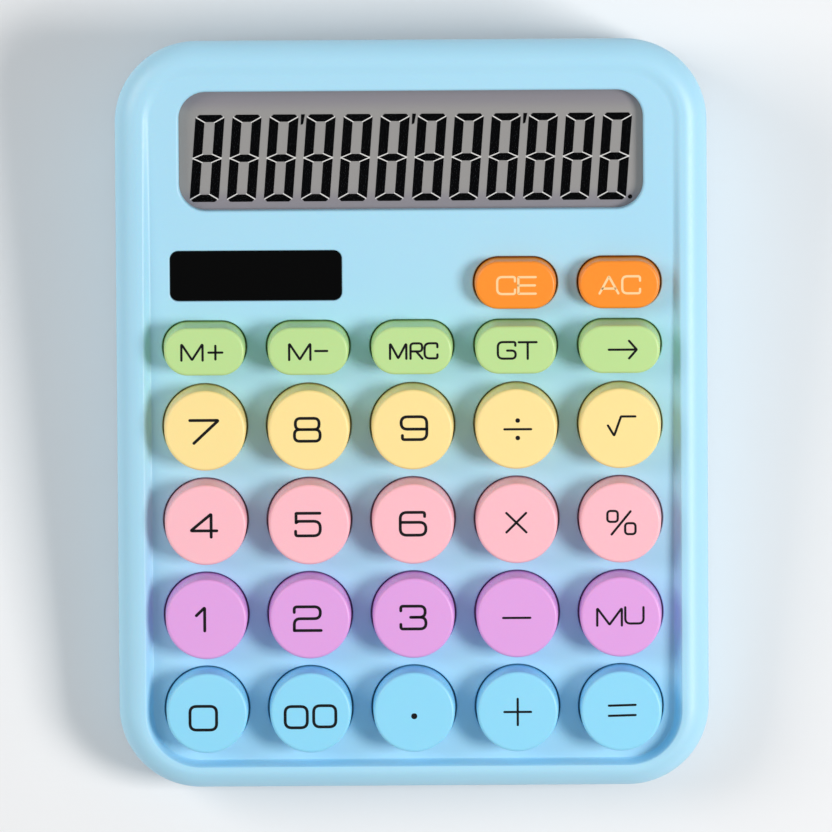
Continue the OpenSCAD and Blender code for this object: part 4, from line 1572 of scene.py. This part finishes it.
@dataclass
class CadSkin:
    """A CAD node's own surface, welded, smooth across gentle edges and broken at its sharp ones."""

    node: bpy.types.Object
    material: bpy.types.Material
    edge: float = 0.15 * MM
    edge_steps: int = 2
    sharp_deg: float = 30.0
    weld: float = 0.002 * MM
    flat_deg: float = 0.3

    def build(self) -> bpy.types.Object:
        """Builds the skin.

        Returns:
            A piece that stands for the node on the node's own body.
        """
        shell = Shell(self.node.name + "_skin")
        mesh = shell.mesh
        mesh.from_mesh(self.node.data)
        bmesh.ops.remove_doubles(mesh, verts=mesh.verts, dist=self.weld)
        bmesh.ops.dissolve_limit(
            mesh, angle_limit=math.radians(self.flat_deg), verts=mesh.verts, edges=mesh.edges
        )
        sharp = math.radians(self.sharp_deg)
        edges = [e for e in mesh.edges if len(e.link_faces) == 2 and e.calc_face_angle() > sharp]
        bmesh.ops.bevel(
            mesh,
            geom=edges,
            offset=self.edge,
            segments=self.edge_steps,
            profile=0.5,
            affect="EDGES",
            clamp_overlap=True,
        )
        piece = shell.finish(self.material, self.sharp_deg)
        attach(piece, self.node["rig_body"])
        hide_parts(self.node.name)
        return piece


SKINNED: dict[Finish, tuple[tuple[str, str], ...]] = {
    CASE_ABS: (("rear_case", "case_plastic"), ("battery_door", "case_plastic")),
    NICKEL: (("case_screws", "nickel_steel"),),
    RUBBER: (("rubber_feet", "foot_rubber"),),
}

CARRIED: dict[Finish, tuple[str, ...]] = {
    WHITE_HIPS: ("lcd_holder",),
    REFLECTOR: ("lcd_reflector",),
    POLYIMIDE: ("lcd_ribbon",),
    NICKEL: ("lcd_screws", "board_screws", "battery_spring", "battery_plate"),
    SILICON: ("solar_cell",),
    RED_PVC: ("solar_leads",),
    BLACK_PVC: ("battery_leads",),
    PHENOLIC: ("keypad_board",),
    EPOXY: ("chip_blob",),
    SLEEVE: ("capacitor",),
    LACQUER: ("resistors",),
    SILICONE: ("dome_mat",),
    JACKET: ("battery",),
}


def dress(node: bpy.types.Object, material: bpy.types.Material) -> None:
    """Gives a CAD node its finish.

    Args:
        node: The CAD node's object.
        material: The finish.
    """
    if not node.material_slots:
        node.data.materials.append(material)
    for slot in node.material_slots:
        slot.material = material


# ---------------------------------------------------------------- studio


@dataclass(frozen=True)
class SoftBox:
    """A square soft light: its place and side in metres, its power in watts and its sRGB colour."""

    name: str
    place: tuple[float, float, float]
    size: float
    watts: float
    colour: str


SOFT_BOXES = (
    SoftBox("key_light", place=(0.98, -0.18, 1.0), size=0.45, watts=14.3, colour="#fffaf6"),
    SoftBox("fill_light", place=(-1.15, 0.35, 0.85), size=0.8, watts=9.5, colour="#fff8f1"),
)


@dataclass
class Studio:
    """Floor, soft lights and the camera."""

    low: Vector
    high: Vector
    floor_half: float = 3.0
    sky: str = "#eef3f8"
    sky_strength: float = 0.38
    far_clip: float = 50.0
    distance: float = 4.0
    lean_deg: float = 1.2
    roll_deg: float = 0.35
    frame_w: float = 169.1 * MM
    aim_x: float = 0.73 * MM
    aim_y: float = -0.5 * MM
    aim_height: float = 0.6
    sensor: float = 36.0

    def floor(self) -> None:
        """Lays a wide sheet of pale paper under the feet."""
        shell = Shell("studio_floor")
        half = self.floor_half
        corners = [Vector((x * half, y * half, 0.0)) for x, y in ((-1, -1), (1, -1), (1, 1), (-1, 1))]
        shell.cap(shell.ring(corners))
        shell.finish(PAPER.build())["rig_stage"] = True

    def light(self, box: SoftBox) -> None:
        """Hangs one soft box that looks at the object's middle.

        Args:
            box: The light.
        """
        lamp = bpy.data.lights.new(box.name, "AREA")
        lamp.size = box.size
        lamp.energy = box.watts
        lamp.color = linear(box.colour)[:3]
        holder = bpy.data.objects.new(box.name, lamp)
        place = Vector(box.place)
        holder.location = place
        middle = (self.low + self.high) / 2
        holder.rotation_euler = (middle - place).to_track_quat("-Z", "Y").to_euler()
        bpy.context.scene.collection.objects.link(holder)

    def camera(self) -> None:
        """Looks straight down on the object from far off."""
        data = bpy.data.cameras.new("camera")
        data.sensor_width = self.sensor
        aim = Vector((self.aim_x, self.aim_y, self.high.z * self.aim_height))
        lean = math.radians(self.lean_deg)
        back = Vector((0.0, math.sin(lean), math.cos(lean)))
        right = Vector((1.0, 0.0, 0.0))
        turn = Matrix((right, back.cross(right), back)).transposed().to_4x4()
        roll = Matrix.Rotation(math.radians(-self.roll_deg), 4, "Z")
        data.lens = self.sensor * self.distance / self.frame_w
        data.clip_end = self.far_clip
        holder = bpy.data.objects.new("camera", data)
        holder.matrix_world = Matrix.Translation(aim + back * self.distance) @ turn @ roll
        bpy.context.scene.collection.objects.link(holder)
        bpy.context.scene.camera = holder

    def build(self) -> None:
        """Sets up the floor, the lights, the sky and the camera."""
        self.floor()
        for box in SOFT_BOXES:
            self.light(box)
        world = bpy.data.worlds.new("studio_sky")
        world.use_nodes = True
        sky = world.node_tree.nodes["Background"]
        sky.inputs["Color"].default_value = linear(self.sky)
        sky.inputs["Strength"].default_value = self.sky_strength
        bpy.context.scene.world = world
        bpy.context.scene.view_settings.view_transform = "Standard"
        self.camera()


# ---------------------------------------------------------------- assembly


def main() -> None:
    """Builds every sub-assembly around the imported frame."""
    logging.basicConfig(level=logging.INFO, format="%(name)s: %(message)s")
    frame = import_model()
    panel = PanelFrame(frame, panel_t=2.0 * MM)

    case_plastic = CASE_ABS.build()
    case_low, case_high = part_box("front_case")
    upper = UpperCase(panel, Vector(case_low), Vector(case_high), material=case_plastic)
    log.info("built %s", upper.build().name)

    finishes = {colour: finish.build() for colour, finish in KEY_FINISHES.items()}
    black, cream = BLACK_INK.build(), CREAM_INK.build()
    for spec in KEYS:
        ink = cream if spec.colour is KeyColour.ORANGE else black
        key = Keycap(spec, panel, material=finishes[spec.colour], ink=ink)
        cap, legend = key.build(), key.print_legend()
        log.info("built %s and %s", cap.name, legend.name)

    display = Display(panel)
    for piece in [*display.build(), SolarWindow(panel).build()]:
        log.info("built %s", piece.name)
    glass_low, glass_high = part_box("display_window")
    # The display's glass film carries painted shade above and below the digits.
    film = SegmentGlass().build((glass_low[1] + glass_high[1]) / 2, display.digit_h / 2)
    for name in ("lcd_front_glass", "lcd_rear_glass"):
        dress(frame["nodes"][name], film)

    for finish, pairs in SKINNED.items():
        material = case_plastic if finish is CASE_ABS else finish.build()
        for name, slot in pairs:
            skin = CadSkin(frame["nodes"][name], material).build()
            log.info("built %s", skin.name)

    for finish, names in CARRIED.items():
        material = finish.build()
        for name in names:
            dress(frame["nodes"][name], material)
            log.info("dressed %s in %s", name, material.name)

    low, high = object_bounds()
    Studio(Vector(low), Vector(high)).build()
    log.info("sizes written")


if __name__ == "__main__":
    main()
